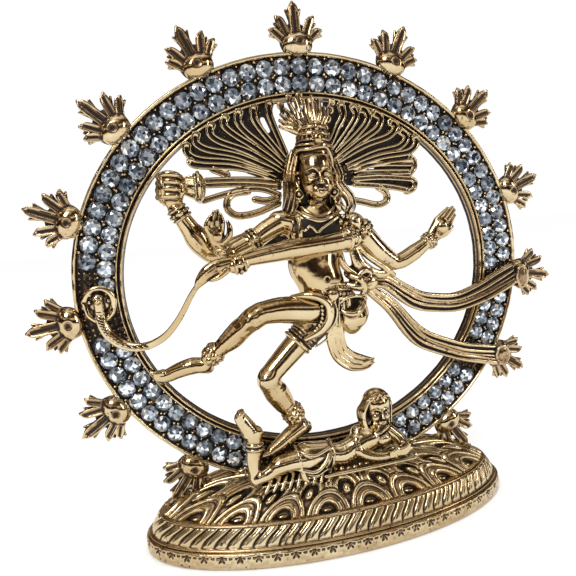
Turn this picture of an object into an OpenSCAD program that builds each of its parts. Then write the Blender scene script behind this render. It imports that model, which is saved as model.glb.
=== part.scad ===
// Dancing figure in a flame ring on an oval lotus base, cast metal with glass stones.
// Millimetres. +Z up, +Y away from the front. The origin is at the centre of the
// base's underside. The ring stands in the plane just behind y = 0.

/* [Base] */
// Length of the oval base
base_len = 75; // [70:0.5:80]
// Depth of the oval base
base_dep = 31; // [29:0.5:33]
// Height of the plain band round the foot
foot_h = 3; // [2.5:0.1:3.2]
// Height of the rope band above it
rope_h = 3.6; // [3:0.1:3.8]
// Height of the top of the lotus tier
lotus_top = 11.4; // [11:0.1:11.6]

/* [Ring] */
// Outer width of the oval ring
ring_w = 90; // [88:0.5:92]
// Outer height of the oval ring
ring_t = 84; // [82:0.5:86]
// Height of the ring's centre above the table
ring_cz = 49.5; // [49:0.1:50]
// Width of the flat band
band = 8.7; // [8.4:0.1:9]
// Thickness of the plate behind the stones
plate_t = 2; // [1.8:0.1:2.6]
// Width of the raised outer rim
rim_out = 1; // [0.8:0.1:1.2]
// Width of the raised inner rim
rim_in = 1.3; // [1:0.1:1.4]

/* [Stones] */
// Diameter of one round stone
stone_d = 3.1; // [2.8:0.05:3.15]
// Number of stone seats in the outer row
seats_outer = 80; // [78:1:82]
// Number of stone seats in the inner row
seats_inner = 74; // [72:1:76]

/* [Flames] */
// Angle from one flame to the next
flame_step = 24; // [23:0.5:24]
// Reach of the longest petal from the middle of its bead
flame_len = 8.4; // [7.5:0.1:9]

/* [Hidden] */

ring_a = ring_w / 2;
ring_b = ring_t / 2;
plate_y = 0.6;
rim_y = -0.3;
rope_z = foot_h;
lotus_z = foot_h + rope_h;
gold = [0.83, 0.66, 0.36];
dark_gold = [0.36, 0.27, 0.15];
crystal = [0.74, 0.82, 0.92];

function oval(a, b, n = 96) = [for (i = [0 : n - 1]) [a * sin(360 * i / n), b * cos(360 * i / n)]];
function lerp(a, b, t) = a + (b - a) * t;
// Unit normal of a flat path at point i, for ribbons
function path_dir(p, i) =
    let (a = p[max(i - 1, 0)], b = p[min(i + 1, len(p) - 1)], d = b - a) d / norm(d);
function ribbon(p, w) = concat(
    [for (i = [0 : len(p) - 1]) p[i] + w[i] / 2 * [-path_dir(p, i)[1], path_dir(p, i)[0]]],
    [for (i = [len(p) - 1 : -1 : 0]) p[i] - w[i] / 2 * [-path_dir(p, i)[1], path_dir(p, i)[0]]]);
// Petal outline of one flame: tip angle, tip reach, notch reach
flame_tips = [[-82, 0.55], [-54, 0.72], [-24, 0.86], [4, 1], [33, 0.84], [62, 0.68], [86, 0.52]];
function petal(i) = flame_len * flame_tips[i][1] * [sin(flame_tips[i][0]), cos(flame_tips[i][0])];
function notch(i) =
    let (m = (flame_tips[i][0] + flame_tips[i + 1][0]) / 2)
    flame_len * 0.5 * [sin(m), cos(m)];
function flame_outline() = concat(
    [[-1.6, -1.2]],
    [for (i = [0 : 6]) each (i < 6 ? [petal(i), notch(i)] : [petal(i)])],
    [[1.6, -1.2]]);

// One link of a limb, round at both ends
module link(p, q, rp, rq, n = 14) {
    hull() {
        translate(p) sphere(rp, $fn = n);
        translate(q) sphere(rq, $fn = n);
    }
}

// A limb through points p with radii r
module limb(p, r, n = 14) {
    for (i = [0 : len(p) - 2]) link(p[i], p[i + 1], r[i], r[i + 1], n);
}

// A slab with outline pts in the XZ plane, from depth y0 to y1
module wall(pts, y0, y1) {
    translate([0, y1, 0]) rotate([90, 0, 0]) linear_extrude(y1 - y0) polygon(pts);
}

// The same, with a hole
module wall_ring(outer, inner, y0, y1) {
    translate([0, y1, 0]) rotate([90, 0, 0]) linear_extrude(y1 - y0) difference() {
        polygon(outer);
        polygon(inner);
    }
}

// A band round a limb: centre, direction, radius of the limb, half width
module cuff(c, dir, r, w) {
    len_xy = norm([dir[0], dir[1]]);
    translate(c) rotate([0, acos(dir[2] / norm(dir)), len_xy > 0 ? atan2(dir[1], dir[0]) : 0])
        rotate_extrude() translate([r - 0.35, 0]) polygon([[0, -w], [0.7, -w], [1, 0], [0.7, w], [0, w]]);
}

module base_foot_band() {
    color(gold) linear_extrude(foot_h) polygon(oval(base_len / 2, base_dep / 2));
}

module base_rope_band() {
    color(gold) translate([0, 0, rope_z]) hull() {
        linear_extrude(0.3) polygon(oval(base_len / 2 - 0.8, base_dep / 2 - 0.8));
        translate([0, 0, rope_h - 0.3])
            linear_extrude(0.3) polygon(oval(base_len / 2 - 3.2, base_dep / 2 - 3));
    }
}

module lotus_tier() {
    color(gold) difference() {
        hull() {
            translate([0, 0, lotus_z])
                linear_extrude(0.2) polygon(oval(base_len / 2 - 3.8, base_dep / 2 - 3.4));
            translate([0, 0, lerp(lotus_z, lotus_top, 0.55)])
                linear_extrude(0.2) polygon(oval(base_len / 2 - 9.5, base_dep / 2 - 5.2));
            translate([0, 0, lotus_top - 0.2])
                linear_extrude(0.2) polygon(oval(base_len / 2 - 19, base_dep / 2 - 8));
        }
        translate([0, 0, ring_cz]) wall(oval(ring_a, ring_b), rim_y, plate_y + plate_t);
    }
}

module platform_slab() {
    color(gold) translate([0, 0, lotus_top])
        linear_extrude(0.8) polygon([[-15.5, -7.4], [-13, -8.6], [13, -8.6], [15, -7.2], [15, -3.5], [-15.5, -3.5]]);
}

module ring_plate() {
    color(dark_gold) translate([0, 0, ring_cz])
        wall_ring(oval(ring_a, ring_b), oval(ring_a - band, ring_b - band), plate_y, plate_y + plate_t);
}

module ring_outer_rim() {
    color(gold) translate([0, 0, ring_cz])
        wall_ring(oval(ring_a, ring_b), oval(ring_a - rim_out, ring_b - rim_out), rim_y, plate_y);
}

module ring_inner_rim() {
    o = band - rim_in;
    color(gold) translate([0, 0, ring_cz])
        wall_ring(oval(ring_a - o, ring_b - o), oval(ring_a - band, ring_b - band), rim_y, plate_y);
}

// A round cut stone: flat table to the front, point to the back
module stone() {
    r = stone_d / 2;
    rotate([90, 0, 0]) rotate_extrude()
        polygon([[0, -0.55], [0.35, -0.55], [r, 0.25], [r, 0.4], [r * 0.55, 0.75], [0, 0.75]]);
}

// Seats left bare: behind the lying figure, under the cobra and under the two sashes
function bare(x, z, gaps) =
    (abs(x) < 15 && z < 25) || z < 13 ||
    len([for (g = gaps) if (x * g[0] > 0 && z > g[1] && z < g[2]) 1]) > 0;

module stone_row(inset, seats, gaps) {
    a = ring_a - inset;
    b = ring_b - inset;
    for (i = [0 : seats - 1]) {
        x = a * sin(360 * i / seats);
        z = ring_cz + b * cos(360 * i / seats);
        if (!bare(x, z, gaps)) translate([x, 0, z]) stone();
    }
}

module stones_outer_row() {
    color(crystal) stone_row(2.6, seats_outer, [[-1, 42.5, 53], [1, 42, 47.5], [1, 25.5, 30]]);
}

module stones_inner_row() {
    color(crystal) stone_row(5.85, seats_inner, [[-1, 39, 51], [1, 40.5, 45.5], [1, 27, 31.5]]);
}

// One palmette at step k from the top; the left ones mirror the right ones
module flame(k) {
    t = k * flame_step;
    x = (ring_a + 1.7) * sin(t);
    z = ring_cz + (ring_b + 1.7) * cos(t);
    turn = atan2(sin(t) * ring_b, cos(t) * ring_a);
    color(gold) translate([x, 0, z]) rotate([0, turn, 0]) {
        mirror([k < 0 ? 1 : 0, 0, 0]) wall(flame_outline(), 0.2, 1.8);
        translate([0, 0.2, 0]) rotate([0, 90, 0]) rotate_extrude()
            polygon([[0, -3.2], [0.9, -2.9], [1.5, -2], [1.7, 0], [1.5, 2], [0.9, 2.9], [0, 3.2]]);
    }
}

module flame_01() { flame(-6); }
module flame_02() { flame(-5); }
module flame_03() { flame(-4); }
module flame_04() { flame(-3); }
module flame_05() { flame(-2); }
module flame_06() { flame(-1); }
module flame_07() { flame(0); }
module flame_08() { flame(1); }
module flame_09() { flame(2); }
module flame_10() { flame(3); }
module flame_11() { flame(4); }
module flame_12() { flame(5); }
module flame_13() { flame(6); }

module dancer_torso() {
    color(gold) {
        link([0.4, -3, 59], [0.3, -3, 63.2], 2.3, 1.5);
        link([-5.6, -3, 59.4], [5.6, -2.8, 58.2], 2.3, 2.3);
        link([-3, -3.2, 57.5], [-0.6, -3, 51], 3, 3);
        link([3.4, -3.2, 56.5], [0.4, -3, 51], 3, 3);
        link([-0.3, -3, 51], [1.2, -3.2, 46.6], 3.5, 3.6, 18);
    }
}

module dancer_head() {
    color(gold) {
        link([0.5, -3.4, 68.6], [0.3, -3.9, 65.2], 3.1, 2.2, 18);
        link([-3.6, -2.6, 67.8], [4.2, -2.6, 67.4], 0.8, 0.8);
    }
}

module crown() {
    color(gold) {
        link([0.7, -2.8, 71], [1, -2.4, 74.5], 3.1, 2.5, 18);
        link([1, -2.4, 74.5], [1.4, -1.8, 81.2], 2.3, 1.1);
    }
}

module crown_plume() {
    color(gold) wall([[-1.2, 73.5], [-4.6, 78], [-4.2, 79.6], [-2.2, 80.4], [-0.4, 80.6], [0.4, 76]], -1.8, -0.6);
}

// Flowing strands from the head to the ring, raised on a thin plate
hair_tips_l = [[-6.6, 82.4], [-9, 81.8], [-12, 80.4], [-14.7, 79.2], [-17.3, 78], [-20, 76.6], [-21.4, 74.6],
    [-21.2, 72.8], [-20.6, 71.2], [-19.8, 69.4], [-19, 67.6], [-15.4, 66]];
hair_tips_r = [[7.4, 80.8], [10.2, 80.2], [12.9, 79.4], [15.3, 78.4], [18, 77], [20.6, 75.4], [21.8, 73],
    [21.6, 70.8], [21.4, 69], [21.2, 67], [20.6, 65.2], [16, 64.6]];

module strand(root, tip, lift) {
    m = (root + tip) / 2 + [0, -lift];
    wall(ribbon([root, (root + m) / 2 + [0, -lift / 4], m, (m + tip) / 2 + [0, -lift / 4], tip],
        [0.7, 0.8, 0.9, 0.9, 0.9]), -1.3, -0.5);
}

module hair_fan_left() {
    color(dark_gold) {
        wall([[-2.6, 74.5], [-4.5, 82.4], [-9, 82.2], [-14.7, 79.7], [-20, 77], [-21.8, 74.6], [-20.6, 71],
            [-20, 68.6], [-16.5, 66.4], [-16.4, 63], [-13.8, 61.3], [-9, 62.2], [-3, 65]], -0.6, 1.4);
        for (i = [0 : 11]) strand([-2.8 - i * 0.2, 74 - i * 0.65], hair_tips_l[i], 2.4 - i * 0.3);
    }
}

module hair_fan_right() {
    color(dark_gold) {
        wall([[3.6, 74.5], [4, 81.6], [10.2, 80.4], [15.3, 79], [20.8, 75.8], [22.4, 72.6],
            [21.4, 66.6], [20.6, 64.6], [16.2, 62.2], [13.7, 61], [10, 62.4], [3.6, 65]], -0.6, 1.4);
        for (i = [0 : 11]) strand([4 + i * 0.2, 74 - i * 0.65], hair_tips_r[i], 2.4 - i * 0.3);
    }
}

module hair_locks() {
    color(gold) {
        limb([[-3.4, -2.4, 69], [-4, -2.8, 65], [-3.6, -3, 62]], [0.9, 1.1, 0.7]);
        limb([[4.2, -2.4, 69], [5.2, -2.8, 65.4], [6.6, -3, 62.2], [6.4, -3, 60.6]], [0.9, 1.1, 0.8, 0.5]);
    }
}

module crossing_arm() {
    color(gold) limb([[7, -3.8, 58.2], [4, -6.4, 56.2], [-3, -7.4, 55.6], [-10, -8.2, 54.3], [-16.4, -8.8, 53],
        [-20.4, -9, 52.6], [-23.4, -9, 50.8]], [2.2, 2.1, 1.9, 1.5, 1.1, 1.1, 0.6]);
}

module blessing_arm() {
    color(gold) {
        limb([[-7, -3, 60], [-12.3, -4, 57], [-17, -5, 55], [-18.6, -7, 56.6]], [2.1, 1.7, 1.4, 1.1]);
        link([-18.8, -7.6, 57.6], [-18.8, -8, 59.8], 1.3, 1.1);
        link([-18.8, -8, 59.8], [-18.7, -8, 62.6], 1, 0.4);
    }
}

module drum_arm() {
    color(gold) {
        limb([[-12.5, -1.6, 57], [-19.2, -3, 54.6], [-22.6, -3.6, 58.6], [-25.3, -4, 63.4]], [1.5, 1.6, 1.5, 1.1]);
        link([-25.4, -4, 64], [-26.2, -3.4, 67], 1.2, 1.2);
    }
}

module flame_arm() {
    color(gold) {
        limb([[7.6, -2.6, 58.4], [11, -2.6, 54.4], [15.8, -3, 49.8], [20, -3, 52], [23.4, -3, 54]],
            [2.2, 2.1, 1.7, 1.4, 1]);
        limb([[23.4, -3, 54], [26.4, -3, 55.8], [29.6, -3, 59.8]], [1, 1.3, 0.6]);
    }
}

module hand_drum() {
    color(gold) translate([-24.2, -3.4, 67.5]) rotate([0, 90, 0]) rotate_extrude()
        polygon([[0, -3.6], [2.6, -3.6], [2.9, -3.2], [1.1, -0.4], [1.1, 0.4], [3, 3.2], [2.7, 3.6], [0, 3.6]]);
}

module dancer_shorts() {
    color(gold) {
        link([-0.6, -3.4, 43.6], [3.6, -3, 43.4], 3.3, 3.3, 18);
        link([0, -4, 42.6], [-3.4, -4.6, 43], 3, 2.9);
        link([1.4, -2.6, 42], [-5.6, -3, 36.8], 3.3, 2.6);
    }
}

module raised_leg() {
    color(gold) {
        limb([[-3.4, -4.8, 43], [-8.6, -6, 43.9], [-14.4, -7, 43.2], [-17.8, -5.6, 40], [-22.3, -3.8, 36.2]],
            [2.5, 2.4, 2, 1.9, 1.2]);
        limb([[-22.3, -3.8, 36.2], [-23.2, -3, 34.8], [-27, -2.4, 34.6], [-31.6, -1.4, 33.9]], [1.2, 1.5, 1.3, 0.9]);
    }
}

module standing_leg() {
    color(gold) {
        limb([[-5.8, -3, 36.6], [-9.4, -4, 33.6], [-12.2, -4.8, 30.8], [-9.8, -3.4, 26.6], [-6.9, -2.4, 22.4]],
            [2.2, 2.1, 1.9, 1.9, 1.2]);
        limb([[-6.9, -2.4, 22.4], [-5.6, -2.6, 20], [-9.8, -4.6, 18.9], [-14.2, -6, 17.8]], [1.2, 1.7, 1.4, 0.9]);
    }
}

module waist_belt() {
    color(gold) translate([1.4, -3.2, 46.4]) rotate([0, 8, 0]) rotate_extrude()
        polygon([[3.2, -0.8], [4.1, -0.6], [4.4, 0], [4.1, 0.6], [3.2, 0.8]]);
}

module necklace() {
    color(gold) {
        translate([0.4, -3.2, 61.4]) rotate([18, 0, 0]) rotate_extrude()
            polygon([[1.4, -0.5], [2.6, -0.5], [2.8, 0], [2.4, 0.5], [1.4, 0.5]]);
        link([0.2, -5.9, 59.6], [0.4, -6.1, 55], 0.5, 0.5);
    }
}

module armlets() {
    color(gold) {
        cuff([-12.3, -4, 57], [-5, -1, -3], 1.6, 0.8);
        cuff([9.6, -2.6, 56], [3.4, 0, -4], 2.1, 0.9);
        cuff([4.6, -6, 56.6], [-3, -2.6, -2], 2, 0.8);
    }
}

module bracelets() {
    color(gold) {
        cuff([-16.2, -8.8, 53.1], [-6.4, -0.6, -1.3], 1.1, 0.9);
        cuff([-18.5, -6.8, 56.5], [-0.2, -1.2, 2], 1.1, 0.7);
        cuff([-25, -4, 62.9], [-2.7, -0.4, 4.8], 1.1, 0.8);
        cuff([23, -3, 53.8], [3.4, 0, 2], 1, 0.8);
    }
}

module anklets() {
    color(gold) {
        cuff([-21.7, -4, 36.8], [-3.7, 1.6, -3.1], 1.3, 0.9);
        cuff([-7.2, -2.5, 22.9], [2.9, 1, -4.2], 1.3, 0.9);
    }
}

// Both long sashes start at the hip knot and pass in front of the ring
sash_a = [[10, 47.4], [13.5, 46.8], [17.2, 44.2], [20, 42.4], [23.1, 41.4], [29, 40.7], [35.2, 42], [40, 43.8], [44, 45.4]];
sash_b = [[10, 45.6], [14.3, 41.8], [18.2, 36.8], [20.6, 34.4], [23.4, 32.8], [29.6, 30.2], [34, 29], [38.6, 28]];

module sash_upper() {
    color(gold) translate([10, -3.2, 0]) rotate([0, 0, 3]) translate([-10, 0, 0])
        wall(ribbon(sash_a, [3, 3, 3.2, 3.2, 3.2, 3.2, 3.2, 3, 2.8]), -0.8, 0.8);
}

module sash_lower() {
    color(gold) translate([10, -3.2, 0]) rotate([0, 0, 3]) translate([-10, 0, 0])
        wall(ribbon(sash_b, [3, 3, 3.2, 3.2, 3.2, 3.2, 3, 2.8]), -0.8, 0.8);
}

module sash_knot() {
    color(gold) {
        link([7.2, -4.4, 47.2], [10, -3.8, 47], 1.8, 1.4);
        link([7.2, -4.4, 47.2], [7.8, -5, 44.4], 1, 0.6);
    }
}

module hip_sash() {
    color(gold) wall(ribbon([[1.8, 40.6], [1.6, 37], [2.2, 34.2], [4.2, 32.4], [6.6, 31.6], [9, 31.9]],
        [2.4, 2.9, 2.9, 2.9, 2.4, 0.8]), -6.4, -5);
}

module hip_pouch() {
    color(gold) {
        link([5.2, -5.3, 40.6], [6, -5.1, 43.2], 2.2, 1.9);
        link([5.2, -5.4, 40.6], [2.8, -5.6, 42.8], 1.8, 1);
    }
}

module cobra() {
    color(gold) {
        limb([[-23.8, -8.8, 50.2], [-25.6, -7.2, 47.3], [-27.6, -6, 44.4], [-30, -4.8, 42], [-33.3, -3.6, 40.5],
            [-36.8, -2.6, 41], [-39.2, -2.2, 43.6], [-40.4, -1.8, 46.4]], [0.6, 0.6, 0.6, 0.65, 0.7, 0.8, 0.9, 1], 10);
        translate([-40.4, -0.5, 48.4]) rotate([90, 0, 0]) cylinder(r = 2.5, h = 0.9);
        link([-40.4, -1.8, 46.4], [-40.4, -2.2, 49], 1, 0.9, 10);
    }
}

module dwarf_torso() {
    color(gold) {
        link([-4.6, -6, 15.2], [1, -6, 14.6], 2.3, 2, 18);
        link([1, -6, 14.6], [7, -5.8, 17], 2, 2.3, 18);
        link([4.6, -5.4, 18.2], [11, -5.2, 17.2], 1.4, 1.3);
        link([8, -5.2, 17.6], [8.9, -5, 19.4], 1.3, 1.1);
    }
}

module dwarf_head() {
    color(gold) {
        link([9.2, -5, 22.6], [9, -5.4, 20.6], 2.7, 1.9, 18);
        link([6.7, -4.2, 20], [6.8, -4.2, 22], 0.8, 0.9);
        link([11.6, -4.2, 19.6], [11.6, -4.2, 21.8], 0.8, 0.9);
    }
}

module dwarf_arms() {
    color(gold) {
        limb([[4.4, -5.6, 18], [3.9, -7.4, 15.4], [8, -8.6, 13.6], [12, -8.6, 13.6]], [1.3, 1.1, 0.9, 0.7]);
        limb([[11.4, -5.4, 17], [13.2, -7.2, 14.4], [10.8, -8.6, 13.8]], [1.2, 1, 0.8]);
    }
}

module dwarf_legs() {
    color(gold) {
        limb([[-5.6, -6.8, 15], [-11, -7.4, 15.4], [-16, -7, 13.4]], [2, 1.7, 1.3]);
        limb([[-16, -7, 13.4], [-16.6, -6.4, 17], [-16.8, -6, 21], [-17.4, -6, 24.4]], [1.3, 1.4, 1, 0.9]);
        limb([[-5.6, -5, 14], [-11.4, -5, 13.4]], [1.7, 1.2]);
    }
}

module dwarf_cloth() {
    color(gold) link([-5.6, -6.2, 15.4], [-2.2, -6.1, 15.1], 2.7, 2.5, 18);
}

base_foot_band();
base_rope_band();
lotus_tier();
platform_slab();
ring_plate();
ring_outer_rim();
ring_inner_rim();
stones_outer_row();
stones_inner_row();
flame_01();
flame_02();
flame_03();
flame_04();
flame_05();
flame_06();
flame_07();
flame_08();
flame_09();
flame_10();
flame_11();
flame_12();
flame_13();
dancer_torso();
dancer_head();
crown();
crown_plume();
hair_fan_left();
hair_fan_right();
hair_locks();
crossing_arm();
blessing_arm();
drum_arm();
flame_arm();
hand_drum();
dancer_shorts();
raised_leg();
standing_leg();
waist_belt();
necklace();
armlets();
bracelets();
anklets();
sash_upper();
sash_lower();
sash_knot();
hip_sash();
hip_pouch();
cobra();
dwarf_torso();
dwarf_head();
dwarf_arms();
dwarf_legs();
dwarf_cloth();
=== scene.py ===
from math import atan2, cos, pi, radians, sin

import bpy
import numpy as np
import openvdb as vdb
from mathutils import Matrix, Vector


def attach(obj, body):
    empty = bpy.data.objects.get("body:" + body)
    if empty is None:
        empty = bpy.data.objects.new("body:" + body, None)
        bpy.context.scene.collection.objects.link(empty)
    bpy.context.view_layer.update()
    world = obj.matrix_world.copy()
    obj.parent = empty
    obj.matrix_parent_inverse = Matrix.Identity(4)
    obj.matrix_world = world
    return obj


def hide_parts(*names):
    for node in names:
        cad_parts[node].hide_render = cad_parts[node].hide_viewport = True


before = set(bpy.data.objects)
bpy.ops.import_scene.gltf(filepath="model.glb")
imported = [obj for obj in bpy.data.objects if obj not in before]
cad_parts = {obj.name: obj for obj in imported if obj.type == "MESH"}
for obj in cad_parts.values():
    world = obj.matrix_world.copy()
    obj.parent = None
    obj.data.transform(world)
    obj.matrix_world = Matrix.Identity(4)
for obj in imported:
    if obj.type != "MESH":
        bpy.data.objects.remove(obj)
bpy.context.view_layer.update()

MM = 0.001
V = lambda *a: np.array(a, float)


# ---------------------------------------------------------------- clay: solids from distances
def smin(a, b, k):
    if k <= 0:
        return np.minimum(a, b)
    h = np.clip(k - np.abs(a - b), 0, None) / k
    return np.minimum(a, b) - h * h * (k / 4)


class Clay:
    """A solid described by distances to its surface on a grid, in millimetres."""

    FAR = 2.0

    def __init__(self, lo, hi, h=0.15):
        self.lo, self.h = V(*lo), h
        self.n = np.ceil((V(*hi) - self.lo) / h).astype(int) + 1
        self.d = np.full(self.n, self.FAR, np.float32)

    def block(self, lo, hi, margin=1.6):
        a = np.clip(np.floor((V(*lo) - margin - self.lo) / self.h).astype(int), 0, self.n - 1)
        b = np.clip(np.ceil((V(*hi) + margin - self.lo) / self.h).astype(int) + 1, 1, self.n)
        b = np.maximum(b, a + 1)
        ax = [(np.arange(a[i], b[i]) * self.h + self.lo[i]).astype(np.float32) for i in range(3)]
        grid = ax[0][:, None, None], ax[1][None, :, None], ax[2][None, None, :]
        return tuple(slice(a[i], b[i]) for i in range(3)), grid

    def put(self, sl, d, k, cut):
        if cut:
            self.d[sl] = -smin(-self.d[sl], d, k)
        else:
            self.d[sl] = smin(self.d[sl], d, k)

    def cone(self, a, b, ra, rb=None, k=0, cut=False, flat=None, axis=(0, 1, 0)):
        """A round-ended cone from a to b. flat squeezes its section along axis."""
        a, b = V(*a), V(*b)
        rb = ra if rb is None else rb
        r = max(ra, rb)
        sl, (x, y, z) = self.block(np.minimum(a, b) - r, np.maximum(a, b) + r)
        ba = b - a
        px, py, pz = x - a[0], y - a[1], z - a[2]
        t = np.clip((px * ba[0] + py * ba[1] + pz * ba[2]) / max(ba @ ba, 1e-9), 0, 1)
        qx, qy, qz = px - t * ba[0], py - t * ba[1], pz - t * ba[2]
        rt = ra + (rb - ra) * t
        q2 = qx * qx + qy * qy + qz * qz
        if flat is None:
            d = np.sqrt(q2) - rt
        else:
            n = V(*axis) / np.linalg.norm(axis)
            w2 = (qx * n[0] + qy * n[1] + qz * n[2]) ** 2
            u2 = np.clip(q2 - w2, 0, None)
            k0 = np.sqrt(u2 + w2 / (flat * flat)) / rt
            k1 = np.sqrt(u2 + w2 / flat**4) / (rt * rt) + 1e-6
            d = k0 * (k0 - 1) / k1
        self.put(sl, d, k, cut)
        return self

    def ball(self, c, r, k=0, cut=False, turn=None):
        """An ellipsoid at c with three radii, or one. turn is a Euler angle triple in degrees."""
        r = V(r, r, r) if np.isscalar(r) else V(*r)
        c = V(*c)
        m = r.max()
        sl, (x, y, z) = self.block(c - m, c + m)
        p = [x - c[0], y - c[1], z - c[2]]
        if turn is not None:
            rx, ry, rz = (Matrix.Rotation(radians(a), 3, axis) for a, axis in zip(turn, "XYZ"))
            e = np.array(rz @ ry @ rx).T
            p = [e[i, 0] * p[0] + e[i, 1] * p[1] + e[i, 2] * p[2] for i in range(3)]
        k0 = np.sqrt((p[0] / r[0]) ** 2 + (p[1] / r[1]) ** 2 + (p[2] / r[2]) ** 2)
        k1 = np.sqrt((p[0] / r[0] ** 2) ** 2 + (p[1] / r[1] ** 2) ** 2 + (p[2] / r[2] ** 2) ** 2) + 1e-6
        self.put(sl, k0 * (k0 - 1) / k1, k, cut)
        return self

    def tube(self, pts, radii, k=0.1, cut=False, flat=None, fine=4):
        """A tube along a smooth curve through pts."""
        p, r = spline(pts, radii, fine)
        m = r.max() + 0.2
        sl, _ = self.block(p.min(0) - m, p.max(0) + m)
        t = Clay.__new__(Clay)
        t.h, t.n = self.h, np.array([q.stop - q.start for q in sl])
        t.lo = self.lo + V(*[q.start for q in sl]) * self.h
        t.d = np.full(t.n, self.FAR, np.float32)
        for i in range(len(p) - 1):
            t.cone(p[i], p[i + 1], r[i], r[i + 1], flat=flat)
        self.put(sl, t.d, k, cut)
        return self

    def hoop(self, c, n, big, small, k=0, cut=False, beads=0, bead=0, flat=1):
        """A ring round axis n at c, with that many beads on it; flat squeezes it along Y."""
        c, n = V(*c), V(*n) / np.linalg.norm(n)
        m = big + small + bead
        sl, (x, y, z) = self.block(c - m, c + m)
        px, py, pz = x - c[0], (y - c[1]) / flat, z - c[2]
        w = px * n[0] + py * n[1] + pz * n[2]
        r = np.sqrt(np.clip(px * px + py * py + pz * pz - w * w, 0, None))
        d = np.sqrt((r - big) ** 2 + w * w) - small
        if beads:
            u = np.cross(n, V(0, 0, 1) if abs(n[2]) < 0.9 else V(1, 0, 0))
            u /= np.linalg.norm(u)
            v = np.cross(n, u)
            ang = np.arctan2(px * v[0] + py * v[1] + pz * v[2], px * u[0] + py * u[1] + pz * u[2])
            step = 2 * pi / beads
            off = (ang / step - np.round(ang / step)) * step * big
            d = np.minimum(d, np.sqrt((r - big) ** 2 + w**2 + off**2) - bead)
        self.put(sl, d, k, cut)
        return self

    def plate(self, poly, y0, y1, k=0, cut=False, edge=0.15):
        """A slab with outline poly in x and z, from y0 to y1, with rounded edges."""
        p = np.array(poly, float)
        lo, hi = p.min(0), p.max(0)
        sl, (x, y, z) = self.block((lo[0], y0, lo[1]), (hi[0], y1, hi[1]), 1)
        X, Z = x[:, 0, :], z[0]
        d2 = np.full(np.broadcast(X, Z).shape, 1e9, np.float32)
        inside = np.zeros(d2.shape, bool)
        for i in range(len(p)):
            a, b = p[i - 1], p[i]
            e = b - a
            t = np.clip(((X - a[0]) * e[0] + (Z - a[1]) * e[1]) / max(e @ e, 1e-9), 0, 1)
            d2 = np.minimum(d2, (X - a[0] - t * e[0]) ** 2 + (Z - a[1] - t * e[1]) ** 2)
            if abs(e[1]) > 1e-9:
                hit = ((a[1] > Z) != (b[1] > Z)) & (X < (Z - a[1]) * e[0] / e[1] + a[0])
                inside ^= hit
        flat = np.where(inside, -1, 1) * np.sqrt(d2) + edge
        wy = np.abs(y - (y0 + y1) / 2) - (y1 - y0) / 2 + edge
        f = flat[:, None, :]
        d = np.minimum(np.maximum(f, wy), 0) + np.hypot(np.maximum(f, 0), np.maximum(wy, 0)) - edge
        self.put(sl, d, k, cut)
        return self

    def sample(self, p):
        """Distances at points p."""
        q = np.clip((p - self.lo) / self.h, 0, self.n - 1.001)
        i = q.astype(int)
        f = q - i
        out = 0
        for cx in (0, 1):
            for cy in (0, 1):
                for cz in (0, 1):
                    w = (f[:, 0] if cx else 1 - f[:, 0]) * (f[:, 1] if cy else 1 - f[:, 1])
                    w = w * (f[:, 2] if cz else 1 - f[:, 2])
                    out = out + w * self.d[i[:, 0] + cx, i[:, 1] + cy, i[:, 2] + cz]
        return out

    def skin(self, depth=1):
        """Points, faces and hollow shading of the surface."""
        g = vdb.FloatGrid(self.FAR)
        g.copyFromArray(self.d)
        p, q = g.convertToQuads(isovalue=0.0)
        p = p.astype(float) * self.h + self.lo
        a, b, c, e = (p[q[:, i]] for i in range(4))
        fn = np.cross(c - a, e - b)
        vn = np.zeros_like(p)
        for i in range(4):
            np.add.at(vn, q[:, i], fn)
        vn /= np.linalg.norm(vn, axis=1)[:, None] + 1e-12
        # Patina and painted shade: the surface is darker where nearby solid hides it, sampled outward along
        # the normal.
        shade = 0
        for t, w in ((0.25, 0.3), (0.5, 0.35), (0.9, 0.35)):
            t = t * depth
            shade = shade + w * np.clip(1 - self.sample(p + vn * t) / t, 0, 1)
        return p, q, shade

    def cast(self, node_name, extra_shade=0, mat=None):
        """The finished piece of a CAD node; the extra value adds painted shade, darkening all of it a little.
        """
        p, q, shade = self.skin()
        cast(node_name, p, q, shade + extra_shade, mat)


def spline(pts, radii, fine=4):
    """A smooth curve through pts, and the radius along it."""
    p = np.array(pts, float)
    r = np.full(len(p), radii, float) if np.isscalar(radii) else np.array(radii, float)
    if len(p) == 2:
        return p, r
    e = np.vstack([2 * p[0] - p[1], p, 2 * p[-1] - p[-2]])
    out, rr = [], []
    for i in range(len(p) - 1):
        for j in range(fine):
            t = j / fine
            a, b, c, d = e[i : i + 4]
            bend = (2 * a - 5 * b + 4 * c - d) * t * t
            out.append(0.5 * (2 * b + (c - a) * t + bend + (3 * b - a - 3 * c + d) * t**3))
            rr.append(r[i] + (r[i + 1] - r[i]) * t)
    return np.array(out + [p[-1]]), np.array(rr + [r[-1]])


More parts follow.
